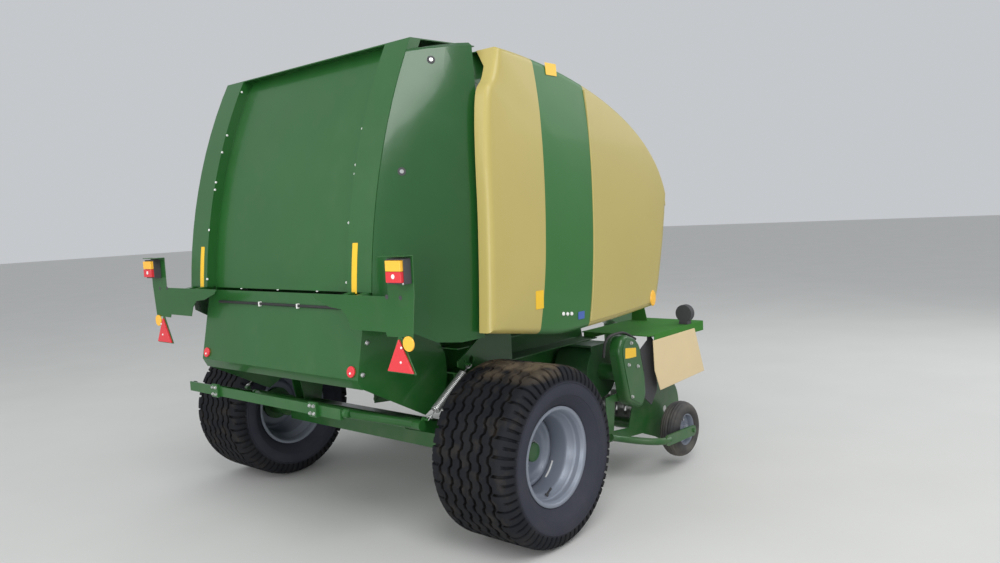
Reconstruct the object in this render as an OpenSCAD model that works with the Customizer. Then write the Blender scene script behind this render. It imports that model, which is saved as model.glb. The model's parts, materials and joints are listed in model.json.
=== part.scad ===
// Round baler with a fixed bale chamber, towed on two wheels and parked on its jack.
// X points forward along the drawbar, Y to the left and Z up. Positions are worked out from the
// wheel axle on the ground plane, then moved so that the origin is under the middle of the machine.

/* [Bale chamber] */
// Diameter of the bale
bale_d = 1250; // [1180:10:1300]
// Clear width between the side walls
chamber_w = 1200; // [1150:10:1240]
// Thickness of the side walls
wall_t = 8; // [6:1:12]
// Height of the chamber's centre
chamber_z = 1560; // [1545:5:1580]
// Distance of the chamber's centre ahead of the axle
chamber_x = 180; // [165:5:200]
// Depth of a slat conveyor, both strands
conveyor_h = 104; // [90:2:110]
// Number of conveyor slats in each half
slat_count = 22; // [16:1:26]

/* [Tailgate] */
// Radius of the rear face, seen from the side
tail_r = 2900; // [2850:10:2950]
// Distance of the rear strips behind the axle at their widest
tail_reach = 673; // [665:1:690]
// Height of the rear face's widest point
tail_z = 1070; // [1050:5:1100]
// Depth of the middle panel behind the strips
panel_recess = 52; // [40:1:60]
// Height of the roof's rear edge
roof_z = 2412; // [2400:1:2425]
// Height of the upper panel's lower edge
panel_z = 1262; // [1250:1:1275]
// Height of the lower panel's bottom edge
skirt_z = 823; // [810:1:840]
// Thickness of the sheet steel
sheet_t = 5; // [3:0.5:6]
// Distance of the hinge pin ahead of the axle
hinge_x = 235; // [225:1:245]
// Height of the hinge pin
hinge_z = 2350; // [2340:1:2360]
// Diameter of the hinge pin
hinge_d = 50; // [40:1:60]
// Half width over the corner covers at their front edge
cover_y = 985; // [960:5:1000]

/* [Side hoods] */
// Half width over the hoods' flat faces
hood_y = 1085; // [1075:1:1100]
// How far the face bulges past that
hood_bulge = 18; // [10:1:24]
// Thickness of the moulded hood
hood_t = 6; // [4:0.5:8]
// Radius of the hood's rounded edge
hood_r = 34; // [28:1:40]
// Half width to the hood's hinge
hood_hinge_y = 800; // [790:1:815]
// Height of the hood's hinge
hood_hinge_z = 2246; // [2240:1:2256]

/* [Wheels] */
// Outer diameter of a tyre
tyre_d = 866; // [850:2:880]
// Width of a tyre
tyre_w = 490; // [470:2:500]
// Distance between the tyres' middles
track = 2100; // [2080:5:2120]
// Diameter over the rim's flange
rim_d = 478; // [470:1:484]
// Side of the square axle
axle_s = 120; // [100:5:130]
// Diameter of a wheel's spindle
spindle_d = 70; // [60:1:80]

/* [Pickup] */
// Distance of the feed rotor ahead of the axle
rotor_x = 960; // [950:2:970]
// Height of the feed rotor
rotor_z = 640; // [630:2:650]
// Diameter over the feed rotor's tines
rotor_d = 520; // [480:5:530]
// Distance of the tined reel ahead of the feed rotor
reel_dx = 500; // [490:2:510]
// Drop of the tined reel below the feed rotor
reel_dz = 320; // [310:2:325]
// Diameter over the reel's tines
reel_d = 350; // [330:5:360]
// Half width of the pickup over its side panels
pickup_y = 1005; // [995:1:1010]
// Number of tine columns across the reel
tine_columns = 30; // [20:1:32]
// Number of tine bars round the reel
tine_bars = 5; // [4:1:6]
// Diameter of a gauge wheel
gauge_d = 338; // [320:2:350]
// Width of a gauge wheel
gauge_w = 124; // [110:2:130]
// Distance of the gauge wheels ahead of the feed rotor
gauge_dx = 460; // [450:2:470]
// Height of the gauge wheels' middle, with the pickup raised
gauge_z = 219; // [212:1:226]
// Middle of a gauge wheel from the centre line
gauge_y = 1128; // [1115:1:1140]

/* [Drawbar] */
// Distance of the hitch eye ahead of the axle
hitch_x = 3200; // [3100:10:3300]
// Height of the hitch eye
hitch_z = 560; // [540:5:600]
// Bore of the hitch eye
hitch_d = 50; // [40:1:52]
// Width of the drawbar's box beam
beam_w = 160; // [140:5:180]
// Distance of the jack ahead of the axle
jack_x = 2620; // [2560:10:2700]
// Diameter of the jack's tube
jack_d = 76; // [70:1:84]

/* [Hidden] */

paint = [0.13, 0.40, 0.16];
dark_paint = [0.10, 0.30, 0.13];
cream = [0.86, 0.78, 0.52];
rubber = [0.07, 0.07, 0.075];
silver = [0.72, 0.73, 0.74];
steel = [0.45, 0.46, 0.47];
black = [0.05, 0.05, 0.055];
red = [0.70, 0.04, 0.05];
amber = [0.95, 0.50, 0.05];

fit = 0.3;
clear = 8;
axle_z = tyre_d / 2;
wall_y = chamber_w / 2;
wall_out = wall_y + wall_t;
bale_r = bale_d / 2;
conveyor_r = bale_r + conveyor_h;
tail_cx = tail_r - tail_reach;
reel_x = rotor_x + reel_dx;
reel_z = rotor_z - reel_dz;
gauge_x = rotor_x + gauge_dx;
bar_reach = 785;
eye_w = 60;
eye_r = hitch_d / 2 + 34;
origin_x = (hitch_x + eye_r - bar_reach) / 2;

// Moves a piece from the axle's frame to the machine's own frame
module placed() {
  translate([-origin_x, 0, 0]) children();
}

// A plate in the XZ plane, from y outwards by t
module plate_y(y, t) {
  translate([0, y + t, 0]) rotate([90, 0, 0]) linear_extrude(t) children();
}

// A plate in the YZ plane, from x forwards by t
module plate_x(x, t) {
  translate([x, 0, 0]) rotate([90, 0, 90]) linear_extrude(t) children();
}

// A rod along Y between two places
module rod_y(x, z, y0, y1, d) {
  translate([x, y1, z]) rotate([90, 0, 0]) cylinder(d = d, h = y1 - y0, $fn = 40);
}

// A straight rod between any two points
module rod(a, b, d) {
  v = b - a;
  l = norm(v);
  translate(a) rotate([0, acos(v[2] / l), atan2(v[1], v[0])]) cylinder(d = d, h = l, $fn = 40);
}

// The same piece on both sides
module pair() {
  children();
  mirror([0, 1, 0]) children();
}

// Rounded bar between two points, in a plane
module slot2d(a, b, r) {
  t = atan2(b[1] - a[1], b[0] - a[0]);
  polygon([
    for (i = [0 : 12]) a + r * [cos(t + 90 + 15 * i), sin(t + 90 + 15 * i)],
    for (i = [0 : 12]) b + r * [cos(t - 90 + 15 * i), sin(t - 90 + 15 * i)],
  ]);
}

// Closed solid through rings with equal point counts, closed by the first and last ring
module capped_loft(rings) {
  n = len(rings[0]);
  m = len(rings);
  walls = [
    for (k = [0 : m - 2], i = [0 : n - 1])
      let (a = k * n + i, b = k * n + (i + 1) % n)
        each [[a, b, b + n], [a, b + n, a + n]]
  ];
  first = [[for (i = [0 : n - 1]) n - 1 - i]];
  last = [[for (i = [0 : n - 1]) (m - 1) * n + i]];
  polyhedron([for (r = rings) each r], concat(first, walls, last));
}

// Bent tube along a route that stays nearly level
module bent_tube(route, d) {
  n = len(route) - 1;
  capped_loft([
    for (i = [0 : n])
      let (
        w = route[min(i + 1, n)] - route[max(i - 1, 0)], t = w / norm(w),
        u = cross([0, 0, 1], t) / norm(cross([0, 0, 1], t)), v = cross(t, u)
      ) [for (k = [0 : 19]) route[i] + d / 2 * (cos(18 * k) * u - sin(18 * k) * v)]
  ]);
}

// Unit normal of a grid of points at row i and column j
function grid_normal(g, i, j) =
  let (
    m = len(g) - 1, n = len(g[0]) - 1,
    u = g[min(i + 1, m)][j] - g[max(i - 1, 0)][j],
    v = g[i][min(j + 1, n)] - g[i][max(j - 1, 0)],
    c = cross(u, v)
  ) c / norm(c);

// Sheet of thickness t on the side of a grid of points that its normals point away from, kept beyond y_min
module sheet_on(g, t, y_min = -2000) {
  m = len(g);
  n = len(g[0]);
  inner = [
    for (i = [0 : m - 1]) [
      for (j = [0 : n - 1]) let (q = g[i][j] - t * grid_normal(g, i, j)) [q[0], max(q[1], y_min), q[2]]
    ]
  ];
  off = m * n;
  skins = [
    for (i = [0 : m - 2], j = [0 : n - 2])
      let (a = i * n + j, b = a + 1, c = a + n + 1, d = a + n)
        each [[a, b, c], [a, c, d], [off + a, off + c, off + b], [off + a, off + d, off + c]]
  ];
  sides = [
    for (j = [0 : n - 2]) let (a = j, b = j + 1) each [[b, a, off + a], [b, off + a, off + b]],
    for (j = [0 : n - 2]) let (a = (m - 1) * n + j, b = a + 1) each [[a, b, off + b], [a, off + b, off + a]],
    for (i = [0 : m - 2]) let (a = i * n, b = a + n) each [[a, b, off + b], [a, off + b, off + a]],
    for (i = [0 : m - 2]) let (a = i * n + n - 1, b = a + n) each [[b, a, off + a], [b, off + a, off + b]],
  ];
  polyhedron([for (r = g) each r, for (r = inner) each r], concat(skins, sides));
}

// Distance of the rear face behind the axle at a height, set in from the strips' face
function tail_x(z, inset = 0) = tail_cx - sqrt(pow(tail_r - inset, 2) - pow(z - tail_z, 2));

// Band of the rear face between two insets and two heights
module tail_band(inset0, inset1, z0, z1) {
  intersection() {
    translate([tail_cx, tail_z]) difference() {
      circle(tail_r - inset0, $fn = 360);
      circle(tail_r - inset1, $fn = 360);
    }
    translate([-900, z0]) square([900, z1 - z0]);
  }
}

// The line from the hinge down to the foot of the split between front and tailgate
split_foot = [-150, 1000];
split_dir = (split_foot - [hinge_x, hinge_z]) / norm(split_foot - [hinge_x, hinge_z]);
split_n = [split_dir[1], -split_dir[0]];
function on_split(s, off = 0) = [hinge_x, hinge_z] + s * split_dir + off * split_n;
split_len = norm(split_foot - [hinge_x, hinge_z]);

// Ring of the chamber between two radii and two angles
module chamber_band(r0, r1, a0, a1) {
  translate([chamber_x, chamber_z]) intersection() {
    difference() {
      circle(r1, $fn = 240);
      circle(r0, $fn = 240);
    }
    polygon([[0, 0], for (i = [0 : 8]) let (a = a0 + (a1 - a0) * i / 8) 1.6 * r1 * [cos(a), sin(a)]]);
  }
}

// Side members, cross members and brackets that carry the chamber and the drawbar
beam_z0 = 800;
beam_z1 = 930;
beam_x0 = -110;
beam_x1 = 1130;
spring_y = track / 2 - tyre_w / 2 - 31;
beam_out = spring_y - 34;
cross_z0 = 930;
cross_s = 110;
module main_frame() {
  color(paint) placed() {
    pair() {
      difference() {
        translate([beam_x0, wall_out, beam_z0]) cube([beam_x1 - beam_x0, beam_out - wall_out, beam_z1 - beam_z0]);
        translate([beam_x0 - 1, wall_out + sheet_t, beam_z0 + 6])
          cube([beam_x1 - beam_x0 + 2, beam_out - wall_out, beam_z1 - beam_z0 - 12]);
      }
      plate_y(beam_out, 8) difference() {
        polygon([[-120, 868], [-60, 900], [60, 972], [270, 972], [300, 940], [300, 800], [-40, 800], [-120, 840]]);
        translate([-20, 862]) circle(d = 36);
        translate([-70, 862]) circle(d = 14);
      }
      for (y = [wall_out + 20, beam_out - 28]) plate_y(y, 8)
        polygon([[-axle_s / 2 - 60, beam_z0], [axle_s / 2 + 60, beam_z0], [axle_s / 2, axle_z + axle_s / 2],
          [-axle_s / 2, axle_z + axle_s / 2]]);
    }
    pair() rod_y(spring_top[0], spring_top[1], beam_out, spring_y + 5, spring_pin_d);
    translate([beam_x1 - cross_s, -beam_out, cross_z0]) cube([cross_s, 2 * beam_out, cross_s]);
  }
}

// Square axle with a spindle for each wheel
rim_out_y = track / 2 + 60;
module axle() {
  color(paint) placed() {
    translate([-axle_s / 2, -790, axle_z - axle_s / 2]) cube([axle_s, 2 * 790, axle_s]);
    pair() rod_y(0, axle_z, 790, track / 2 + spindle_reach, spindle_d);
  }
}

// Sizes of a wheel about its middle: its hub, the dish of its disc and its rim
hub_d = 170;
hub_in = track / 2 - 160;
disc_y = -32;
spindle_reach = disc_y + 12;
rim_w = 406;
rim_t = 7;
bead_w = rim_w / 2 - 12;

// One tyre about its own axis, in the YZ plane of the wheel, outer side towards +Z of the profile
module tyre_profile() {
  half = tyre_w / 2;
  tread = tyre_d / 2;
  bead = rim_d / 2 - 21;
  difference() {
    polygon([
      [bead, -bead_w], [bead + 23, -bead_w], [bead + 34, -rim_w / 2 - 4], [bead + 70, -half + 12], [bead + 110, -half],
      [tread - 62, -half + 6], [tread - 26, -half + 18], [tread - 6, -half + 46], [tread, -half + 90],
      [tread, half - 90], [tread - 6, half - 46], [tread - 26, half - 18], [tread - 62, half - 6],
      [bead + 110, half], [bead + 70, half - 12], [bead + 34, rim_w / 2 + 4], [bead + 23, bead_w], [bead, bead_w],
      [bead, rim_w / 2 - 34], [bead + 30, rim_w / 2 - 26], [bead + 90, half - 32], [tread - 60, half - 34],
      [tread - 34, half - 80], [tread - 34, -half + 80], [tread - 60, -half + 34], [bead + 90, -half + 32],
      [bead + 30, -rim_w / 2 + 26], [bead, -rim_w / 2 + 34],
    ]);
    for (i = [-2.5 : 1 : 2.5]) translate([tread - 11, i * 58 - 5]) square([20, 10]);
  }
}

module on_wheel(side) {
  placed() translate([0, side * track / 2, axle_z]) rotate([-90 * side, 0, 0]) children();
}

module tyre(side) {
  color(rubber) on_wheel(side) rotate_extrude($fn = 96) tyre_profile();
}

// Rolled rim with a dished disc that bolts to the hub
module rim(side) {
  seat = rim_d / 2 - 21 - fit;
  lip = bead_w + fit;
  well = seat - 26;
  color(silver) on_wheel(side) {
    rotate_extrude($fn = 96) polygon([
      [rim_d / 2, -lip], [seat, -lip], [seat, -lip + 52], [well, -lip + 78], [well, lip - 78],
      [seat, lip - 52], [seat, lip], [rim_d / 2, lip], [rim_d / 2, lip + rim_t], [seat + 2, lip + rim_t],
      [seat - rim_t, lip - 3], [seat - rim_t, lip - 50], [well - rim_t, lip - 76],
      [well - rim_t, disc_y + 34], [seat - 46, disc_y + 62], [seat - 62, disc_y + 62], [seat - 82, disc_y + 34],
      [44, disc_y + 34], [44, disc_y + 24], [seat - 78, disc_y + 24], [seat - 58, disc_y + 52],
      [seat - 50, disc_y + 52], [well - rim_t, disc_y + 18],
      [well - rim_t, -lip + 76], [seat - rim_t, -lip + 50], [seat - rim_t, -lip + 3],
      [seat + 2, -lip - rim_t], [rim_d / 2, -lip - rim_t],
    ]);
  }
}

// Hub with its cap and bolts, on the spindle
module hub(side) {
  color(paint) on_wheel(side) difference() {
    union() {
      translate([0, 0, hub_in - track / 2]) cylinder(d = hub_d - 40, h = disc_y + 24 - 20 - hub_in + track / 2, $fn = 48);
      translate([0, 0, disc_y + 4]) cylinder(d = hub_d + 30, h = 20, $fn = 48);
      translate([0, 0, disc_y + 20]) cylinder(d = 87, h = 60, $fn = 48);
      translate([0, 0, disc_y + 80]) cylinder(d1 = 87, d2 = 66, h = 14, $fn = 48);
    }
    translate([0, 0, hub_in - track / 2 - 1])
      cylinder(d = spindle_d + 2 * fit, h = spindle_reach + track / 2 - hub_in + 1 + fit, $fn = 48);
  }
}

module tyre_right() { tyre(-1); }
module tyre_left() { tyre(1); }
module rim_right() { rim(-1); }
module rim_left() { rim(1); }
module hub_right() { hub(-1); }
module hub_left() { hub(1); }

// Front half of the chamber: side walls, the curved front sheet and the tailgate's hinge
roof_r = conveyor_r + 46;
ear_r = 84;
hood_pins = [290, 430];
hood_pin_d = 12;
bearing_y = wall_out + 26;
bearing_d = 140;
rotor_shaft_d = 82;
cyl_y = wall_out + 92;
ear_y = wall_out + 32;
cyl_foot = [360, 1260];
cyl_head = [-220, 2100];
cyl_pin_d = 30;
module front_side(off) {
  polygon([on_split(-300, off), on_split(split_len, off), [beam_x0, 940], [beam_x0, 300], [1500, 300], [1500, 2800]]);
}
module chamber_front() {
  color(paint) placed() {
    pair() {
      difference() {
        union() {
          plate_y(wall_y, wall_t) {
            intersection() {
              union() {
                translate([chamber_x, chamber_z]) circle(roof_r, $fn = 240);
                polygon([[-100, 940], [-100, 730], [640, 730], [700, 640], [700, 400], [1160, 400], [1200, 640],
                  [1130, 925], [1015, 925], [1015, 1060], [chamber_x + roof_r - 1, 1300], [500, 1500]]);
              }
              front_side(-clear / 2);
            }
            translate([hinge_x, hinge_z]) circle(70, $fn = 64);
          }
          rod_y(rotor_x, rotor_z, wall_out - 1, bearing_y, bearing_d);
        }
        rod_y(rotor_x, rotor_z, wall_y - 1, bearing_y + 1, rotor_shaft_d + 2 * fit);
      }
      rod_y(hinge_x, hinge_z, wall_y - 10, ear_y, hinge_d);
      plate_y(ear_y, 70) translate([hinge_x, hinge_z]) intersection() {
        difference() {
          circle(ear_r, $fn = 64);
          circle(ear_r - 6, $fn = 64);
        }
        polygon([[0, 0], [300, -160], [300, 300], [-60, 300]]);
      }
      plate_y(ear_y - 4, 4) translate([hinge_x, hinge_z]) intersection() {
        circle(ear_r, $fn = 64);
        polygon([[-30, -60], [300, -160], [300, 300], [-60, 300], [-30, 0]]);
      }
      rod_y(cyl_foot[0], cyl_foot[1], wall_out, cyl_y + 24, cyl_pin_d);
      rod_y(cyl_foot[0], cyl_foot[1], wall_out, cyl_y - 40, 90);
      for (x = hood_pins) {
        plate_x(x + 26, 8) {
          polygon([[wall_out, hood_hinge_z - 110], [wall_out, hood_hinge_z - 20], [hood_hinge_y - 8, hood_hinge_z + 9],
            [hood_hinge_y + 9, hood_hinge_z - 8], [wall_out + 60, hood_hinge_z - 90]]);
          translate([hood_hinge_y, hood_hinge_z]) circle(12, $fn = 32);
        }
        translate([x - 24, hood_hinge_y, hood_hinge_z]) rotate([0, 90, 0]) cylinder(d = hood_pin_d, h = 54, $fn = 32);
      }
    }
    plate_y(-wall_y, chamber_w) chamber_band(roof_r - sheet_t, roof_r, -16, 78);
  }
}

// A slat conveyor round part of the chamber: two chains with slats on both strands and their shafts
module conveyor(a0, a1) {
  mid_r = bale_r + conveyor_h / 2;
  half = conveyor_h / 2 - 4;
  chain = 20;
  pitch = (a1 - a0) / slat_count;
  pair() plate_y(wall_y - 44, 26) {
    difference() {
      chamber_band(mid_r - half, mid_r + half, a0, a1);
      chamber_band(mid_r - half + chain, mid_r + half - chain, a0 - 2, a1 + 2);
    }
    for (a = [a0, a1]) translate([chamber_x + mid_r * cos(a), chamber_z + mid_r * sin(a)]) circle(half, $fn = 48);
  }
  for (a = [a0, a1])
    rod_y(chamber_x + mid_r * cos(a), chamber_z + mid_r * sin(a), -wall_y, wall_y, 50);
  for (i = [0 : slat_count], r = [mid_r - half, mid_r + half - chain])
    translate([chamber_x, 0, chamber_z]) rotate([0, -(a0 + i * pitch), 0])
      translate([r, -wall_y + 30, -15]) cube([chain, 2 * wall_y - 60, 30]);
}

roller_d = 190;
roller_angles = [-101, -76];
module front_conveyor() {
  color(steel) placed() {
    conveyor(-38, 82);
    for (a = roller_angles) {
      x = chamber_x + (bale_r + roller_d / 2 + 12) * cos(a);
      z = chamber_z + (bale_r + roller_d / 2 + 12) * sin(a);
      rod_y(x, z, -wall_y + 10, wall_y - 10, roller_d - 20);
      rod_y(x, z, -wall_y, wall_y, 50);
      for (k = [0 : 11]) translate([x, 0, z]) rotate([0, k * 30, 0])
        translate([roller_d / 2 - 14, -wall_y + 12, -7]) cube([14, chamber_w - 24, 14]);
    }
  }
}

module tailgate_conveyor() {
  color(steel) placed() conveyor(98, 234);
}

// Curved floor behind the feed rotor with its row of knives, and the augers' housings
star_count = 16;
star_edge = 40;
star_pitch = (chamber_w - 2 * star_edge) / star_count;
knife_t = 4;
auger_d = 280;
auger_y0 = 645;
auger_y1 = 880;
floor_r = rotor_d / 2 + 15;
module rotor_band(r0, r1, a0, a1) {
  translate([rotor_x, rotor_z]) intersection() {
    difference() {
      circle(r1, $fn = 96);
      circle(r0, $fn = 96);
    }
    polygon([[0, 0], for (i = [0 : 6]) let (a = a0 + (a1 - a0) * i / 6) 1.6 * r1 * [cos(a), sin(a)]]);
  }
}
module feed_channel() {
  color(dark_paint) placed() {
    plate_y(-wall_y, chamber_w) rotor_band(floor_r, floor_r + sheet_t, 186, 262);
    plate_y(-wall_y, chamber_w) polygon([
      [rotor_x - floor_r - sheet_t, rotor_z - 30], [rotor_x - floor_r, rotor_z - 30],
      [rotor_x - floor_r, rotor_z + 60], [rotor_x - floor_r - 190, rotor_z + 200],
      [rotor_x - floor_r - 194, rotor_z + 196], [rotor_x - floor_r - sheet_t, rotor_z + 56],
    ]);
    for (i = [1 : star_count - 1])
      plate_y(-wall_y + star_edge + i * star_pitch - knife_t / 2, knife_t)
        polygon([[rotor_x - floor_r - 2, rotor_z - 40], [rotor_x - floor_r + 60, rotor_z + 10],
          [rotor_x - floor_r + 6, rotor_z + 66], [rotor_x - floor_r - 60, rotor_z + 100]]);
    pair() {
      plate_y(auger_y0, auger_y1 - auger_y0 - 4) rotor_band(auger_d / 2 + 10, auger_d / 2 + 10 + sheet_t, 60, 262);
      plate_y(auger_y1 - 8, 8) difference() {
        union() {
          translate([rotor_x, rotor_z]) circle(auger_d / 2 + 12 + sheet_t, $fn = 96);
          polygon([[rotor_x - 100, beam_z0], [rotor_x + 120, beam_z0], [rotor_x + 100, rotor_z], [rotor_x - 100, rotor_z]]);
        }
        translate([rotor_x, rotor_z]) circle(d = 62 + 2 * fit, $fn = 48);
      }
      translate([rotor_x - 90, auger_y0, rotor_z + auger_d / 2 + 8])
        cube([180, auger_y1 - auger_y0 - 4, beam_z0 - rotor_z - auger_d / 2 - 8]);
    }
  }
}

// Feed rotor: a tube with tine stars between the knives, a journal and an auger at each end
module auger_flight(y0, y1, hand) {
  turns = 1.25;
  steps = 30;
  grid = [for (i = [0 : steps]) [for (r = [28, auger_d / 2])
    let (a = hand * 360 * turns * i / steps)
      [rotor_x + r * cos(a), y0 + (y1 - y0) * i / steps, rotor_z + r * sin(a)]]];
  sheet_on(grid, 5);
}
module feed_rotor() {
  color(steel) placed() {
    rod_y(rotor_x, rotor_z, -wall_y + 6, wall_y - 6, 200);
    pair() {
      rod_y(rotor_x, rotor_z, wall_y - 6 + fit, bearing_y + 2, rotor_shaft_d);
      rod_y(rotor_x, rotor_z, bearing_y + 2 + fit, guard_y + 30, 62);
    }
    for (i = [0 : star_count - 1])
      plate_y(-wall_y + star_edge + (i + 0.5) * star_pitch - 5, 10) translate([rotor_x, rotor_z]) rotate(i * 22.5)
        for (k = [0 : 3]) rotate(90 * k)
          polygon([[80, -34], [rotor_d / 2 - 14, -6], [rotor_d / 2, 12], [rotor_d / 2 - 30, 26], [80, 40]]);
    auger_flight(auger_y0 + 10, auger_y1 - 20, 1);
    mirror([0, 1, 0]) auger_flight(auger_y0 + 10, auger_y1 - 20, 1);
  }
}

// Guards over the chain drives outside the pickup, each on a sleeve round the rotor's shaft, and a
// flat plate that hangs from the platform ahead of them
guard_y = pickup_y + 6;
guard_w = 69;
guard_t = 4;
guard_mid = [26, 12];
guard_outline = [
  [-101, 181], [-75, 209], [-37, 218], [48, 191], [99, 146], [117, 66], [146, -42], [150, -145], [125, -202],
  [85, -210], [-32, -155], [-77, 0], [-106, 142],
];
shelf_x1 = 1830;
shelf_y = 1100;
shelf_z = 835;
drop_y = guard_y + 41;
drop_t = 6;
drop_outline = [
  [230, shelf_z - 6 - fit - rotor_z], [230, 157], [223, 157], [141, 115], [172, -14], [174, -180], [251, -238],
  [325, -154], [316, 17], [304, 145], [278, 169], [270, shelf_z - 6 - fit - rotor_z],
];
module guard_shape(wall) {
  translate([rotor_x, rotor_z])
    polygon([for (p = guard_outline) p + 1.3 * wall * (guard_mid - p) / norm(guard_mid - p)]);
}
module drive_guards() {
  color(paint) placed() pair() {
    difference() {
      union() {
        plate_y(guard_y, guard_w) guard_shape(0);
        rod_y(rotor_x, rotor_z, auger_y1, guard_y + 1, 100);
      }
      plate_y(guard_y + guard_t, guard_w - 2 * guard_t) guard_shape(guard_t);
      rod_y(rotor_x, rotor_z, auger_y1 - 1, guard_y + guard_t + 1, 62 + 2 * fit);
    }
    plate_y(drop_y, drop_t) translate([rotor_x, rotor_z]) polygon(drop_outline);
  }
}

// Front net box, open towards the lid
box_x0 = chamber_x + roof_r;
box_x1 = 1350;
box_z0 = 1330;
box_z1 = 1790;
box_y = 640;
module net_box() {
  color(paint) placed() {
    difference() {
      translate([box_x0, -box_y, box_z0]) cube([box_x1 - box_x0, 2 * box_y, box_z1 - box_z0]);
      translate([box_x0 + sheet_t, -box_y + sheet_t, box_z0 + sheet_t])
        cube([box_x1 - box_x0, 2 * (box_y - sheet_t), box_z1 - box_z0]);
      translate([box_x1 - 160, -box_y - 1, box_z0 + 180]) cube([161, 2 * box_y + 2, box_z1 - box_z0]);
    }
    pair() {
      translate([beam_x1 - 80, box_y - 60, cross_z0 + cross_s]) cube([60, 60, box_z0 - cross_z0 - cross_s]);
    }
    pair() rod_y(box_x0 + 20, box_z1 + 22, box_y - 60, box_y - 10, 14);
    pair() plate_y(box_y - 10, 8) polygon([[box_x0, box_z1 - 60], [box_x0 + 60, box_z1 - 60], [box_x0 + 36, box_z1 + 34],
      [box_x0 + 4, box_z1 + 34]]);
  }
}

// Lid of the net box, hinged along its rear edge
module net_lid() {
  color(paint) placed() {
    plate_y(-box_y - 8, 2 * box_y + 16) polygon([
      [box_x0 + 50, box_z1 + 12], [box_x1 - 60, box_z1 + 12], [box_x1 + 14, box_z1 - 70], [box_x1 + 14, box_z0 + 190],
      [box_x1 + 9, box_z0 + 190], [box_x1 + 9, box_z1 - 72], [box_x1 - 62, box_z1 + 6], [box_x0 + 50, box_z1 + 6],
    ]);
    pair() {
      plate_y(box_y - 50, 32) difference() {
        union() {
          translate([box_x0 + 20, box_z1 + 22]) circle(14, $fn = 32);
          polygon([[box_x0 + 20, box_z1 + 36], [box_x0 + 90, box_z1 + 12], [box_x0 + 60, box_z1 + 8], [box_x0 + 26, box_z1 + 9]]);
        }
        translate([box_x0 + 20, box_z1 + 22]) circle(d = 14 + 2 * fit, $fn = 32);
      }
    }
  }
}

// Drawbar: a frame from the cross member that runs into one box beam
frame_x1 = 1980;
foot_x1 = beam_x1 + 60;
nose_x0 = frame_x1 - 220;
module drawbar() {
  color(paint) placed() {
    translate([0, 0, cross_z0]) linear_extrude(cross_s) difference() {
      polygon([[beam_x1, -600], [beam_x1 + 40, -600], [frame_x1, -beam_w / 2], [frame_x1, beam_w / 2],
        [beam_x1 + 40, 600], [beam_x1, 600]]);
      pair_2d() polygon([[beam_x1 - 1, 430], [foot_x1, 430], [nose_x0, beam_w / 2 + 10],
        [nose_x0, beam_w / 2], [beam_x1 - 1, beam_w / 2]]);
      pair_2d() translate([foot_x1, beam_w / 2]) square([fit, 600]);
      translate([nose_x0, -600]) square([fit, 1200]);
    }
    plate_y(-beam_w / 2, beam_w) polygon([
      [frame_x1 - 160, cross_z0 - 20], [hitch_x - 260, hitch_z - 60], [hitch_x - 120, hitch_z - 60],
      [hitch_x - 120, hitch_z + 60], [hitch_x - 300, hitch_z + 80], [frame_x1, cross_z0 + cross_s],
      [frame_x1 - 160, cross_z0 + cross_s],
    ]);
  }
}
module pair_2d() {
  children();
  mirror([0, 1]) children();
}

// Ring that the tractor's pin goes through
module hitch_eye() {
  color(steel) placed() difference() {
    union() {
      translate([hitch_x, 0, hitch_z - 22]) cylinder(r = eye_r, h = 44, $fn = 64);
      translate([hitch_x - 120, -40, hitch_z - 22]) cube([100, 80, 44]);
      translate([hitch_x - 120, -70, hitch_z - 50]) cube([16, 140, 100]);
    }
    translate([hitch_x, 0, hitch_z - 23]) cylinder(d = hitch_d, h = 46, $fn = 64);
  }
}

// Gearbox behind the drive shaft, with its splined stub and the cross shaft to the left side
gear_x = 1150;
gear_z = cross_z0 + cross_s + 130;
stub_d = 34.9;
module gearbox() {
  color(dark_paint) placed() {
    translate([gear_x, -100, cross_z0 + cross_s]) cube([240, 200, 240]);
    translate([gear_x + 240, 0, gear_z]) rotate([0, 90, 0]) cylinder(d = 110, h = 24, $fn = 48);
    translate([gear_x + 264, 0, gear_z]) rotate([0, 90, 0]) cylinder(d = stub_d, h = 80, $fn = 48);
    rod_y(gear_x + 120, gear_z, 100, 700, 60);
    plate_y(696, 12) translate([gear_x + 120, gear_z]) circle(d = 150, $fn = 48);
  }
}

// Jack's outer tube on the drawbar's left side, and the leg inside it
jack_y = beam_w / 2 + 26 + jack_d / 2;
leg_d = jack_d - 14;
module jack_tube() {
  color(paint) placed() {
    difference() {
      translate([jack_x, jack_y, 330]) cylinder(d = jack_d, h = 570, $fn = 48);
      translate([jack_x, jack_y, 329]) cylinder(d = leg_d + 2 * fit, h = 560, $fn = 48);
    }
    difference() {
      translate([jack_x - 30, beam_w / 2, 650]) cube([60, 26 + jack_d / 2, 70]);
      translate([jack_x, jack_y, 600]) cylinder(d = jack_d - 1, h = 200, $fn = 48);
    }
  }
}
module jack_leg() {
  color(silver) placed() {
    translate([jack_x, jack_y, 0]) cylinder(d = 200, h = 12, $fn = 48);
    translate([jack_x, jack_y, 12]) cylinder(d = leg_d, h = 540, $fn = 48);
  }
}

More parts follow.
